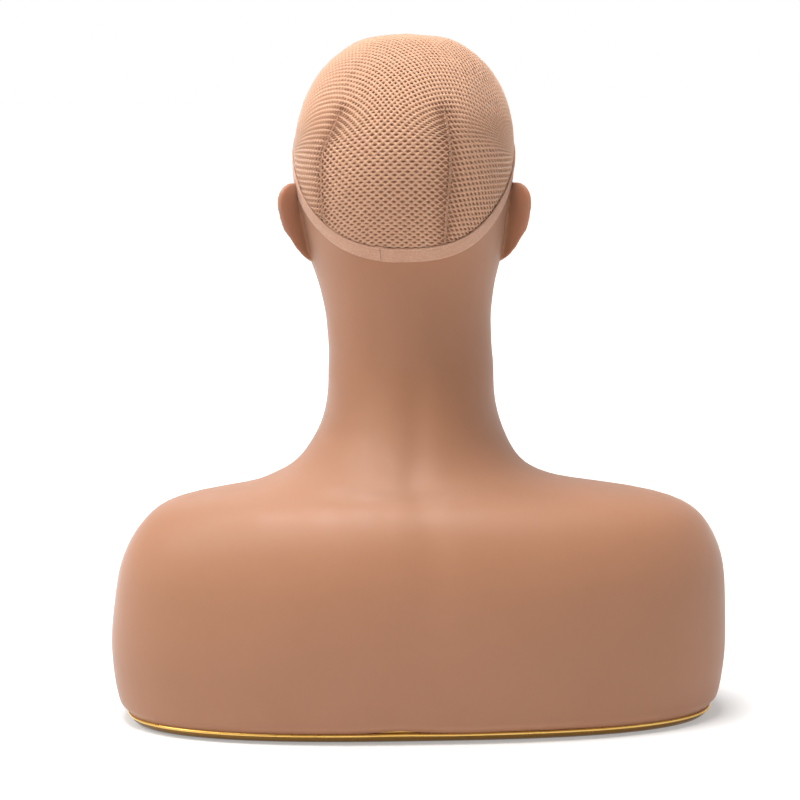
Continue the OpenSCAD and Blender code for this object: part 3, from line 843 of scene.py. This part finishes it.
def makePlate():
    count = base["columns"]
    side = skinSides(count)
    p = skinPoint(np.zeros(count), side)
    n = skinNormal(np.zeros(count), side) * [1, 1, 0]
    n /= np.linalg.norm(n, axis=1, keepdims=True)
    profile = list(base["rim"])
    for angle in np.radians(np.linspace(90, -90, 9)):
        profile.append((-base["beadIn"] - base["beadRadius"] * math.cos(angle),
                        base["beadZ"] + base["beadRadius"] * math.sin(angle)))
    profile += base["cove"]
    rings = []
    for inward, z in profile:
        inward = skin["hemTuck"] + inward
        ring = p - n * inward
        ring[:, 2] = z
        rings.append(ring)
    wave = hemWave(rings[2]) * base["waveShare"]
    for ring in rings:
        ring[:, 2] += wave * clamp01(ring[:, 2] / 6)
    faces = gridFaces(len(rings), count)[:, ::-1].tolist()
    # the underside: the outline drawn in to a raised panel
    edge = rings[-1]
    middle = edge.mean(0)
    start = len(rings) - 1
    for share, z in base["panel"]:
        ring = middle + (edge - middle) * share
        ring[:, 2] = z
        rings.append(ring)
    for k in range(start, len(rings) - 1):
        a = k * count
        b = a + count
        faces += [[a + (i + 1) % count, a + i, b + i, b + (i + 1) % count] for i in range(count)]
    return np.concatenate(rings), faces


def makeBase():
    points, faces = makePlate()
    bm = bmesh.new()
    verts = [bm.verts.new(v * mm) for v in points]
    for f in faces:
        bm.faces.new([verts[i] for i in f])
    # the flat panel is filled round the holes, and each hole is a stepped well
    edges = []
    ring = verts[-base["columns"]:]
    for a, b in zip(ring, ring[1:] + ring[:1]):
        edges.append(bm.edges.get((a, b)))
    steps = 48
    head = screws["headHole"]
    shank = screws["shankHole"]
    well = ((6.4, 0.95), (6.0, 0.45), (4.7, 0.4), (head, 0.7), (head, 3.1), (shank, 3.2), (shank, 9.0))
    for x, y in screwPlaces():
        wells = []
        for r, z in well:
            loop = []
            for k in range(steps):
                a = 2 * math.pi * k / steps
                place = (x + r * math.cos(a), y + r * math.sin(a), z)
                loop.append(bm.verts.new([mm * v for v in place]))
            wells.append(loop)
        for a, b in zip(wells, wells[1:]):
            for k in range(steps):
                bm.faces.new([a[(k + 1) % steps], a[k], b[k], b[(k + 1) % steps]])
        for k in range(steps):
            edges.append(bm.edges.get((wells[0][k], wells[0][(k + 1) % steps])))
    bmesh.ops.triangle_fill(bm, edges=edges, use_beauty=True)
    mesh = bpy.data.meshes.new("gold_base")
    bmesh.ops.recalc_face_normals(bm, faces=bm.faces)
    bm.to_mesh(mesh)
    bm.free()
    mesh.shade_smooth()
    obj = bpy.data.objects.new("gold_base", mesh)
    bpy.context.scene.collection.objects.link(obj)
    mesh.materials.append(goldLook)
    mod = obj.modifiers.new("edges", "EDGE_SPLIT")
    mod.split_angle = math.radians(40)
    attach(obj, "bust")
    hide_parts("base_plate")
    print("base", len(mesh.polygons), "faces")


makeBase()


# The cap. Places on it are given by the azimuth from the middle of the cap's back, in degrees,
# and by the distance s from the crown along the skin.
cap = {
    "turn": 15.0,
    "bandShare": 0.21,
    "gap": 0.35,
    "bandWidth": 11.5,
    "frontDrop": 34.0,
    "backDrop": 145.5,
    "earRise": 3.0,
    "behindEarDrop": 4.5,
    "dartAngle": 34.0,
    "dartTopZ": 408.4,
    "dartLean": {-1: 9.0, 1: -2.5},
}
sideStep = 1.0
distanceStep = 0.5
# the tables below have a row for each of these angles round the head, and a column for each distance
capSides = np.arange(0, 360 + sideStep, sideStep)
capS = np.arange(0, 262, distanceStep)


def makeMeridians():
    # for each side: the section number at each distance from the crown
    u = np.linspace(last - 0.02, levelAt(250.0), 900)
    table = np.zeros((len(capSides), len(capS)))
    for k, side in enumerate(capSides):
        p = skinPoint(u, np.full_like(u, side))
        lengths = np.concatenate([[0], np.cumsum(stepLengths(p))])
        table[k] = np.interp(capS, lengths, u)
    return table


meridians = makeMeridians()


def bilinear(table, side, s):
    # reads a table that has a row for each side and a column for each distance
    x = np.mod(side, 360.0) / sideStep
    y = np.clip(s, 0, capS[-1] - 0.01) / distanceStep
    i = x.astype(int)
    j = y.astype(int)
    fx = x - i
    fy = y - j
    i1 = np.minimum(i + 1, len(capSides) - 1)
    return ((table[i, j] * (1 - fx) + table[i1, j] * fx) * (1 - fy)
            + (table[i, j + 1] * (1 - fx) + table[i1, j + 1] * fx) * fy)


def capSide(azimuth):
    return azimuth + 90 - cap["turn"]


def capPoint(azimuth, s, height):
    side = capSide(azimuth)
    u = bilinear(meridians, side, s)
    return skinPoint(u, side) + skinNormal(u, side) * np.asarray(height)[..., None]


def edgeZ(side):
    # the level of the band's lower edge: high on the forehead, low on the nape, dipping behind the ears
    a = np.radians(side + cap["turn"] * cap["bandShare"])
    front = crownZ - cap["frontDrop"]
    back = crownZ - cap["backDrop"]
    drop = np.where(np.sin(a) > 0, cap["behindEarDrop"] * np.sin(2 * a) ** 2, 0)
    return (front + back) / 2 + (back - front) / 2 * np.sin(a) + cap["earRise"] * np.cos(a) ** 2 - drop


def makeEdge():
    # distance from the crown to the band's lower edge, for each side
    u = levelAt(edgeZ(capSides))
    return np.array([np.interp(-level, -meridian, capS) for level, meridian in zip(u, meridians)])


edgeTable = makeEdge()


def edgeS(azimuth):
    return np.interp(np.mod(capSide(azimuth), 360), capSides, edgeTable)


def roundLength():
    # length round the head per degree, at each side and distance
    a, s = np.meshgrid(capSides, capS, indexing="ij")
    p0 = skinPoint(bilinear(meridians, a - 0.5, s), a - 0.5)
    p1 = skinPoint(bilinear(meridians, a + 0.5, s), a + 0.5)
    return np.linalg.norm(p1 - p0, axis=-1)


perDegree = roundLength()
perStep = (perDegree[1:] + perDegree[:-1]) / 2
alongRound = np.concatenate([np.zeros((1, len(capS))), np.cumsum(perStep, 0)])


def arcFrom(center, azimuth, s):
    # arc length at distance s from the meridian at center to azimuth
    def total(angle):
        side = capSide(angle)
        turns = np.floor(side / 360)
        whole = bilinear(np.tile(alongRound[-1], (len(capSides), 1)), side * 0, s)
        return bilinear(alongRound, side, s) + turns * whole
    return total(azimuth) - total(np.full_like(azimuth, center))


tipS = float(np.interp(-levelAt(cap["dartTopZ"]), -meridians[90], capS))
print("dart tip at", round(tipS, 1), "mm from the crown, band at", edgeTable[[0, 90, 180, 270]].round(1))


def dartAzimuth(sign, s):
    # a dart leans towards the middle of the back over its upper third
    return sign * cap["dartAngle"] + cap["dartLean"][sign] * (1 - smooth(s, tipS, tipS + 34))


def wrappedOf(azimuth):
    return np.mod(azimuth + 180, 360) - 180


def clothOf(center, azimuth, s):
    # where a point of the cap lies in the flat cloth: polar at the crown, straight rows on the back
    away = np.abs(wrappedOf(azimuth))
    w = smooth(s, tipS - 2, tipS + 24) * (1 - smooth(away, 95, 150))
    turn = np.radians(azimuth - center)
    localX = (1 - w) * s * np.sin(turn) + w * arcFrom(center, azimuth, s)
    localY = (1 - w) * s * np.cos(turn) + w * s
    cosine = math.cos(math.radians(center))
    sine = math.sin(math.radians(center))
    return localX * cosine + localY * sine, -localX * sine + localY * cosine


def surfaceOf(center, x, y):
    # the place on the cap of a point of the flat cloth, by Newton's steps
    s = np.maximum(np.hypot(x, y), 0.4)
    azimuth = np.degrees(np.arctan2(x, y))
    azimuth = center + wrappedOf(azimuth - center)
    stepAngle = 0.2
    stepS = 0.1
    most = 12
    ease = 0.8
    for n in range(22):
        fx, fy = clothOf(center, azimuth, s)
        gx, gy = clothOf(center, azimuth + stepAngle, s)
        hx, hy = clothOf(center, azimuth, s + stepS)
        ax, ay = (gx - fx) / stepAngle, (gy - fy) / stepAngle
        bx, by = (hx - fx) / stepS, (hy - fy) / stepS
        det = ax * by - ay * bx
        det = np.where(np.abs(det) < 1e-4, 1e-4, det)
        ex, ey = x - fx, y - fy
        turn = (ex * by - ey * bx) / det
        slide = (ax * ey - ay * ex) / det
        azimuth = azimuth + np.clip(turn, -most, most) * ease
        s = np.clip(s + np.clip(slide, -most, most) * ease, 0.2, 250)
    fx, fy = clothOf(center, azimuth, s)
    return azimuth, s, np.hypot(fx - x, fy - y)


# The net: diamond cells of strands that cross in knots, laid flat in three panels about the two darts
net = {
    "cellX": 2.74,
    "cellY": 2.14,
    "panels": (("back", 0.0), ("left", -27.0), ("right", 27.0)),
    "share": np.array([0.0, 0.235, 0.5, 0.765, 1.0]),   # knot, hole, middle of the hole, hole, knot
    "span": 62,
    "reach": 225,
    "blunt": 0.075,   # a hole's upper and lower corners are blunter than the side ones
    "sharp": -0.03,
    "dartWide": 0.135,   # the holes are pulled wide along a dart
    "sideWide": 0.055,
    "uneven": 0.022,
    "jitter": 0.06,
    "strand": 1.05,
    "holeRim": 0.66,
    "holeFoot": 0.25,
    "knotRise": 0.16,
    "crestRise": 0.04,
    "sideFlat": 0.50,
}


def isInPanel(name, azimuth, s):
    # the back panel lies between the darts, and the side ones meet over the forehead
    left = dartAzimuth(-1, s)
    right = dartAzimuth(1, s)
    if name == "back":
        return (azimuth > left) & (azimuth < right)
    return azimuth <= left if name == "left" else azimuth >= right


def cellsInside(name, center):
    # the cells of the flat cloth that land on this panel
    numbers = np.arange(-net["span"], net["span"])
    i, j = (v.ravel() for v in np.meshgrid(numbers, numbers, indexing="ij"))
    x = (i - j) * net["cellX"]
    y = (i + j + 1) * net["cellY"]
    near = np.hypot(x, y) < net["reach"]
    i, j = i[near], j[near]
    azimuth, s, error = surfaceOf(center, x[near], y[near])
    wrapped = wrappedOf(azimuth)
    inside = isInPanel(name, wrapped, s) & (error < 0.5)
    inside &= s < edgeS(azimuth) - cap["bandWidth"] + 0.6
    return i[inside], j[inside], wrapped[inside], s[inside]


def holeWidth(i, j, wrapped, s):
    toDart = np.minimum(np.abs(wrapped - dartAzimuth(-1, s)), np.abs(wrapped - dartAzimuth(1, s)))
    wide = net["dartWide"] * bell(toDart, 5.5) * smooth(s, tipS - 8, tipS + 2)
    wide += net["sideWide"] * smooth(np.abs(wrapped), 40, 68)
    return wide + net["uneven"] * np.sin(i * 1.7 + j * 2.9) * np.sin(i * 0.61 - j * 0.83)


def netPanel(name, center):
    ci, cj, azimuthAt, distanceAt = cellsInside(name, center)
    # each cell is a lattice of 5 by 5 points, and cells side by side share the points between them
    p, q = np.meshgrid(np.arange(5), np.arange(5), indexing="ij")
    keyI = (4 * ci[:, None, None] + p[None]).reshape(-1)
    keyJ = (4 * cj[:, None, None] + q[None]).reshape(-1)
    keys, inverse = np.unique(np.stack([keyI, keyJ], -1), axis=0, return_inverse=True)
    inverse = inverse.reshape(len(ci), 5, 5)
    cellI, partI = np.floor_divide(keys[:, 0], 4), np.mod(keys[:, 0], 4)
    cellJ, partJ = np.floor_divide(keys[:, 1], 4), np.mod(keys[:, 1], 4)
    realI = cellI + net["share"][partI]
    realJ = cellJ + net["share"][partJ]
    onRing = (partI > 0) & (partJ > 0) & ~((partI == 2) & (partJ == 2))
    # the hole is a little rounder than the diamond between the strands
    isCorner = onRing & (partI != 2) & (partJ != 2)
    pull = np.where(isCorner, np.where(partI == partJ, net["blunt"], net["sharp"]), 0.0) * onRing
    wide = np.zeros(len(keys))
    wide[inverse[:, 1:4, 1:4]] = holeWidth(ci, cj, azimuthAt, distanceAt)[:, None, None]
    pull = (pull - wide) * onRing
    realI += pull * np.sign(0.5 - (realI - cellI)) * (partI != 2)
    realJ += pull * np.sign(0.5 - (realJ - cellJ)) * (partJ != 2)
    # the cloth's rows wander a little
    x = (realI - realJ) * net["cellX"]
    y = (realI + realJ) * net["cellY"]
    jitter = net["jitter"]
    x = (x + jitter * np.sin(x * 0.9 + 1.3 * y) + 0.10 * np.sin(y * 0.21 + 2)
         + 0.5 * np.sin(y / 37 + x / 51))
    y = (y + jitter * np.sin(y * 1.1 - 0.7 * x) + 0.10 * np.sin(x * 0.17)
         + 0.4 * np.sin(x / 33 + 1))
    azimuth, s = surfaceOf(center, x, y)[:2]
    wrapped = wrappedOf(azimuth)
    # a panel stops at its darts and under the band
    limit = edgeS(azimuth) - cap["bandWidth"] + 1.3
    below = s > tipS
    dartLeft = dartAzimuth(-1, s)
    dartRight = dartAzimuth(1, s)
    if name == "back":
        wrapped = np.where(below, np.clip(wrapped, dartLeft, dartRight), wrapped)
    elif name == "left":
        wrapped = np.where(below & (wrapped > dartLeft) & (wrapped < 60), dartLeft, wrapped)
    else:
        wrapped = np.where(below & (wrapped < dartRight) & (wrapped > -60), dartRight, wrapped)
    tucked = smooth(s, limit - 3.5, limit)
    s = np.minimum(s, limit)
    crest = (partI == 0) | (partJ == 0)
    knot = (partI == 0) & (partJ == 0)
    height = np.where(onRing, net["holeRim"], net["strand"]) + np.where(knot, net["knotRise"], 0.0)
    height = height + np.where(crest & ~knot, net["crestRise"], 0.0)
    height = height * (1 - 0.65 * tucked) * (1 - net["sideFlat"] * smooth(np.abs(wrapped), 38, 70))
    top = capPoint(wrapped, s, cap["gap"] + height)
    # the lower rim of each hole, tucked a little under its strand
    ringKeys = np.nonzero(onRing)[0]
    lowOf = np.full(len(keys), -1)
    lowOf[ringKeys] = len(keys) + np.arange(len(ringKeys))
    low = capPoint(wrapped[ringKeys], s[ringKeys], np.full(len(ringKeys), net["holeFoot"]))
    faces = []
    for a, b in [(a, b) for a in range(4) for b in range(4) if not (a in (1, 2) and b in (1, 2))]:
        faces.append(np.stack([inverse[:, a, b], inverse[:, a + 1, b], inverse[:, a + 1, b + 1],
                               inverse[:, a, b + 1]], -1))
    loop = [(1, 1), (2, 1), (3, 1), (3, 2), (3, 3), (2, 3), (1, 3), (1, 2)]
    for here, there in zip(loop, loop[1:] + loop[:1]):
        v = inverse[:, here[0], here[1]]
        w = inverse[:, there[0], there[1]]
        faces.append(np.stack([v, w, lowOf[w], lowOf[v]], -1))
    return np.concatenate([top, low]), np.concatenate(faces), len(ci)


def makeNet():
    allPoints, allFaces, total, cells = [], [], 0, 0
    for name, center in net["panels"]:
        points, faces, found = netPanel(name, center)
        allPoints.append(points)
        allFaces.append(faces + total)
        total += len(points)
        cells += found
    points = np.concatenate(allPoints)
    faces = np.concatenate(allFaces)
    a, b, c, d = (points[faces[:, k]] for k in range(4))
    area = 0.5 * np.linalg.norm(np.cross(c - a, d - b), axis=-1)
    faces = faces[area > 0.004]
    used = np.unique(faces)
    index = np.zeros(len(points), int)
    index[used] = np.arange(len(used))
    obj = makeObject("cap_mesh", points[used], index[faces], "wig_cap", netLook)
    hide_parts("cap_net")
    print("net", cells, "cells", len(faces) * 2, "triangles, area", round(float(area.sum()), 0), "mm2")
    return obj


netObject = makeNet()


# The elastic band round the cap's edge: a flat strip with its upper edge folded over
band = {
    "columns": 900,
    "lapLength": 11.0,
    "lapRise": 0.42,
    "joinAngle": 73.0,
    "profile": [(0.20, 0.35), (0.02, 0.65), (0.05, 1.05), (0.35, 1.38), (1.0, 1.50), (2.4, 1.46),
                (4.2, 1.42), (6.2, 1.42), (8.3, 1.44), (9.0, 1.34), (9.25, 1.20), (9.5, 1.42),
                (9.8, 1.82), (10.3, 2.06), (10.85, 2.02), (11.3, 1.74), (11.5, 1.35), (11.4, 0.95),
                (10.8, 0.62), (7.0, 0.42), (3.0, 0.35)],   # up from the edge, out from the head
}
joinAzimuth = band["joinAngle"] - 90 + cap["turn"]


def makeBand():
    n = band["columns"]
    profile = np.array(band["profile"])
    m = len(profile)
    azimuth = np.linspace(0, 360, n, endpoint=False) - 180
    p = capPoint(azimuth, edgeS(azimuth), np.zeros(n))
    steps = np.linalg.norm(np.roll(p, -1, 0) - p, axis=1)
    along = np.concatenate([[0], np.cumsum(steps)])
    even = np.interp(np.arange(n) / n * along[-1], along, np.append(azimuth, 180))
    length = along[-1]
    t = np.arange(n) / n * length
    joinT = np.interp(joinAzimuth, azimuth, along[:-1])
    past = np.mod(t - joinT, length)
    # the end that laps over the start
    lap = band["lapLength"]
    overlap = smooth(-past, -lap, 0.8 - lap) * band["lapRise"] * smooth(past, 0.0, 0.5)
    wave = 0.10 * np.sin(t / 9.0 + 0.7) + 0.08 * np.sin(t / 23.0)
    bump = 0.7 * bell(np.where(past > length / 2, past - length, past) - 1.5, 3.0)
    aa = np.repeat(even[:, None], m, 1)
    up = profile[None, :, 0] + (wave + bump)[:, None] * smooth(profile[None, :, 0], 8.5, 11.5)
    out = profile[None, :, 1] + overlap[:, None] * smooth(profile[None, :, 1], 0.6, 1.2)
    out = out + 0.05 * np.sin(t[:, None] / 3.1) * np.sin(profile[None, :, 0] * 0.8)
    points = capPoint(aa, edgeS(aa) - up, out + 0.05)
    faces = gridFaces(n, m)
    obj = makeObject("band_strip", points.reshape(-1, 3), faces, "wig_cap", bandLook)
    addAttribute(obj, "bandAround", np.repeat(t[:, None], m, 1).reshape(-1))
    across = np.concatenate([[0], np.cumsum(stepLengths(profile))])
    addAttribute(obj, "bandAcross", np.repeat(across[None], n, 0).reshape(-1))
    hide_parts("cap_band")
    print("band", round(length, 1), "mm round,", len(faces) * 2, "triangles")
    return obj, length


bandObject, bandLength = makeBand()


def tube(path, radius, sides=6):
    # a round thread along a path, with closed ends
    p = np.asarray(path, float)
    tangent = np.gradient(p, axis=0)
    tangent /= np.maximum(np.linalg.norm(tangent, axis=1, keepdims=True), 1e-9)
    u = np.cross(tangent, [0.31, 0.22, 0.93])   # any direction that no thread runs along
    u /= np.linalg.norm(u, axis=1, keepdims=True)
    v = np.cross(tangent, u)
    a = np.arange(sides) / sides * 2 * math.pi
    r = np.full(len(p), radius) if np.isscalar(radius) else np.asarray(radius)
    around = np.cos(a)[None, :, None] * u[:, None] + np.sin(a)[None, :, None] * v[:, None]
    points = (p[:, None] + r[:, None, None] * around).reshape(-1, 3)
    faces = gridFaces(len(p), sides)[:, ::-1].tolist()
    faces.append(list(range(sides)))
    faces.append([(len(p) - 1) * sides + k for k in range(sides - 1, -1, -1)])
    return points, faces


def joined(parts):
    points, faces, total = [], [], 0
    for p, f in parts:
        points.append(p)
        faces += [[total + v for v in g] for g in f]
        total += len(p)
    return np.concatenate(points), faces


# A dart: a zigzag thread over a narrow gathered fold, from the band up to the dart's tip
dart = {
    "step": 0.35,
    "zigzagPitch": 3.1,
    "zigzagHalf": 1.0,
    "threadRadius": 0.17,
    "threadHeight": 0.92,
    "foldHalf": 0.42,
    "foldRadius": 0.22,
    "foldHeight": 0.66,
}


def makeDart(name, sign, nodeName):
    low = float(edgeS(np.array([sign * cap["dartAngle"]]))[0]) - cap["bandWidth"] - 0.5
    high = tipS + 1
    s = np.linspace(high, low, int((low - high) / dart["step"]))
    azimuth = dartAzimuth(sign, s)
    degrees = 1 / np.interp(s, capS, perDegree[int(capSide(sign * cap["dartAngle"])) % 360])
    swing = dart["zigzagHalf"] * np.sin((s - high) * 2 * math.pi / dart["zigzagPitch"])
    fade = smooth(s, high, high + 8)
    height = cap["gap"] + dart["threadHeight"] + 0.16 * np.cos(s * 4.05)
    path = capPoint(azimuth + swing * degrees * (0.4 + 0.6 * fade), s, height)
    parts = [tube(path, dart["threadRadius"])]
    for offset in (-dart["foldHalf"], dart["foldHalf"]):
        height = cap["gap"] + dart["foldHeight"] + 0.10 * np.sin(s * 2.0 + offset)
        path = capPoint(azimuth + offset * degrees * fade, s, height)
        parts.append(tube(path, dart["foldRadius"] * (0.6 + 0.4 * fade) * (1 + 0.2 * np.sin(s * 2.03))))
    points, faces = joined(parts)
    obj = makeObject(name, points, faces, "wig_cap", threadLook)
    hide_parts(nodeName)
    print(name, len(faces), "faces")
    return obj


dartObjects = [makeDart("dart_seam_left", -1, "cap_dart_left"),
               makeDart("dart_seam_right", 1, "cap_dart_right")]

# The stitches that hold the lapped ends of the band, and one loose thread end
join = {
    "stitches": 10,
    "firstUp": 0.8,
    "pitch": 1.04,
    "length": 0.74,
    "height": 1.72,
    "arch": 0.34,
    "foldRise": 0.5,
    "threadRadius": 0.17,
    "tailRadius": 0.13,
}


def makeJoin():
    parts = []
    low = float(edgeS(np.array([joinAzimuth]))[0])
    degree = 1 / float(np.interp(low, capS, perDegree[int(capSide(joinAzimuth)) % 360]))
    t = np.linspace(0, 1, 9)
    for k in range(join["stitches"]):
        up = join["firstUp"] + k * join["pitch"]
        height = join["height"] + join["arch"] * np.sin(math.pi * t) + (join["foldRise"] if up > 9 else 0)
        azimuth = joinAzimuth + degree * (1.3 + 0.12 * math.sin(k * 2.1) + 0.10 * t)
        parts.append(tube(capPoint(azimuth, low - up - join["length"] * t, height), join["threadRadius"]))
    t = np.linspace(0, 1, 24)
    tailS = low - 0.3 + 2.6 * t - 1.2 * t ** 2
    tail = capPoint(joinAzimuth + degree * (1.6 - 2.6 * t), tailS, 1.5 - 0.9 * t + 0.5 * np.sin(3 * t))
    parts.append(tube(tail, join["tailRadius"]))
    points, faces = joined(parts)
    obj = makeObject("join_stitches", points, faces, "wig_cap", darkThreadLook)
    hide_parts("band_join")
    print("join", len(faces), "faces")
    return obj


joinObject = makeJoin()

# the CAD pieces that stay as they are get their finish
for nodeName, look, slotName in (("inner_board", woodLook, "plywood"),
                                 ("base_screws", steelLook, "screw_steel")):
    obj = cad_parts[nodeName]
    obj.data.materials.clear()
    obj.data.materials.append(look)


# Floor, light and camera. A light has its name, place and size in metres, power in watts, and color.
lights = (
    ("key", (2.0, 0.5, 2.2), 1.1, 42, (1.0, 0.965, 0.93)),
    ("top", (0.3, 0.25, 2.6), 1.4, 92, (1.0, 0.98, 0.96)),
    ("front", (0.7, -2.0, 1.5), 1.6, 12, (1.0, 0.98, 0.96)))
aimZ = 0.22
floorSize = 14000
shot = {
    "yaw": 3.43,
    "pitch": 8.357,
    "distance": 1.7,
    "height": 0.4559,
    "lens": 113.35,
    "shiftX": -0.0202,
}


def floorMaterial():
    m, tree, shader = newMaterial("floor")
    shader.inputs["Base Color"].default_value = (0.60, 0.60, 0.60, 1)
    shader.inputs["Roughness"].default_value = 0.8
    # painted light: the floor glows, more strongly away from the object, so that it meets the pale
    # backdrop without an edge; near the object the glow lightens its cast shadow
    far = tree.nodes.new("ShaderNodeVectorMath")
    far.operation = "LENGTH"
    tree.links.new(objectCoords(tree), far.inputs[0])
    glow = ramp(tree, far.outputs["Value"], 0.40, 1.9, 0.34, 0.85)
    tree.links.new(glow, shader.inputs["Emission Strength"])
    shader.inputs["Emission Color"].default_value = (1, 1, 1, 1)
    return m


def turnedTo(obj, direction):
    obj.rotation_mode = "QUATERNION"
    obj.rotation_quaternion = direction.to_track_quat("-Z", "Y")


def makeStage():
    size = floorSize
    floor = makeObject("floor", [[-size, -size, 0], [size, -size, 0], [size, size, 0], [-size, size, 0]],
                       [[0, 1, 2, 3]], None, floorMaterial(), isSmooth=False)
    floor.location.z = -0.0004
    world = bpy.data.worlds.new("world")
    bpy.context.scene.world = world
    world.use_nodes = True
    tree = world.node_tree
    back = tree.nodes["Background"]
    coords = tree.nodes.new("ShaderNodeTexCoord")
    parts = tree.nodes.new("ShaderNodeSeparateXYZ")
    tree.links.new(coords.outputs["Generated"], parts.inputs[0])
    # white at the horizon, softer overhead
    height = ramp(tree, parts.outputs[2], 0.16, 0.30)
    sky = mixColor(tree, height, (1.0, 1.0, 1.0, 1), (0.26, 0.26, 0.27, 1))
    tree.links.new(sky, back.inputs[0])
    back.inputs[1].default_value = 1.0
    for name, place, size, power, color in lights:
        light = bpy.data.lights.new(name, "AREA")
        light.shape = "DISK"
        light.size = size
        light.energy = power
        light.color = color
        obj = bpy.data.objects.new(name, light)
        bpy.context.scene.collection.objects.link(obj)
        obj.location = place
        turnedTo(obj, Vector((0, 0, aimZ)) - Vector(place))
    print("stage with", len(lights), "lights")


def makeCamera():
    yaw, pitch = math.radians(shot["yaw"]), math.radians(shot["pitch"])
    data = bpy.data.cameras.new("camera")
    data.sensor_width = 36
    data.lens = shot["lens"]
    data.shift_x = shot["shiftX"]
    data.clip_start = 0.01
    camera = bpy.data.objects.new("camera", data)
    bpy.context.scene.collection.objects.link(camera)
    camera.location = (shot["distance"] * math.sin(yaw), shot["distance"] * math.cos(yaw), shot["height"])
    across = math.cos(pitch)
    turnedTo(camera, Vector((-math.sin(yaw) * across, -math.cos(yaw) * across, -math.sin(pitch))))
    bpy.context.scene.camera = camera


makeStage()
makeCamera()
bpy.context.scene.view_settings.view_transform = "Standard"
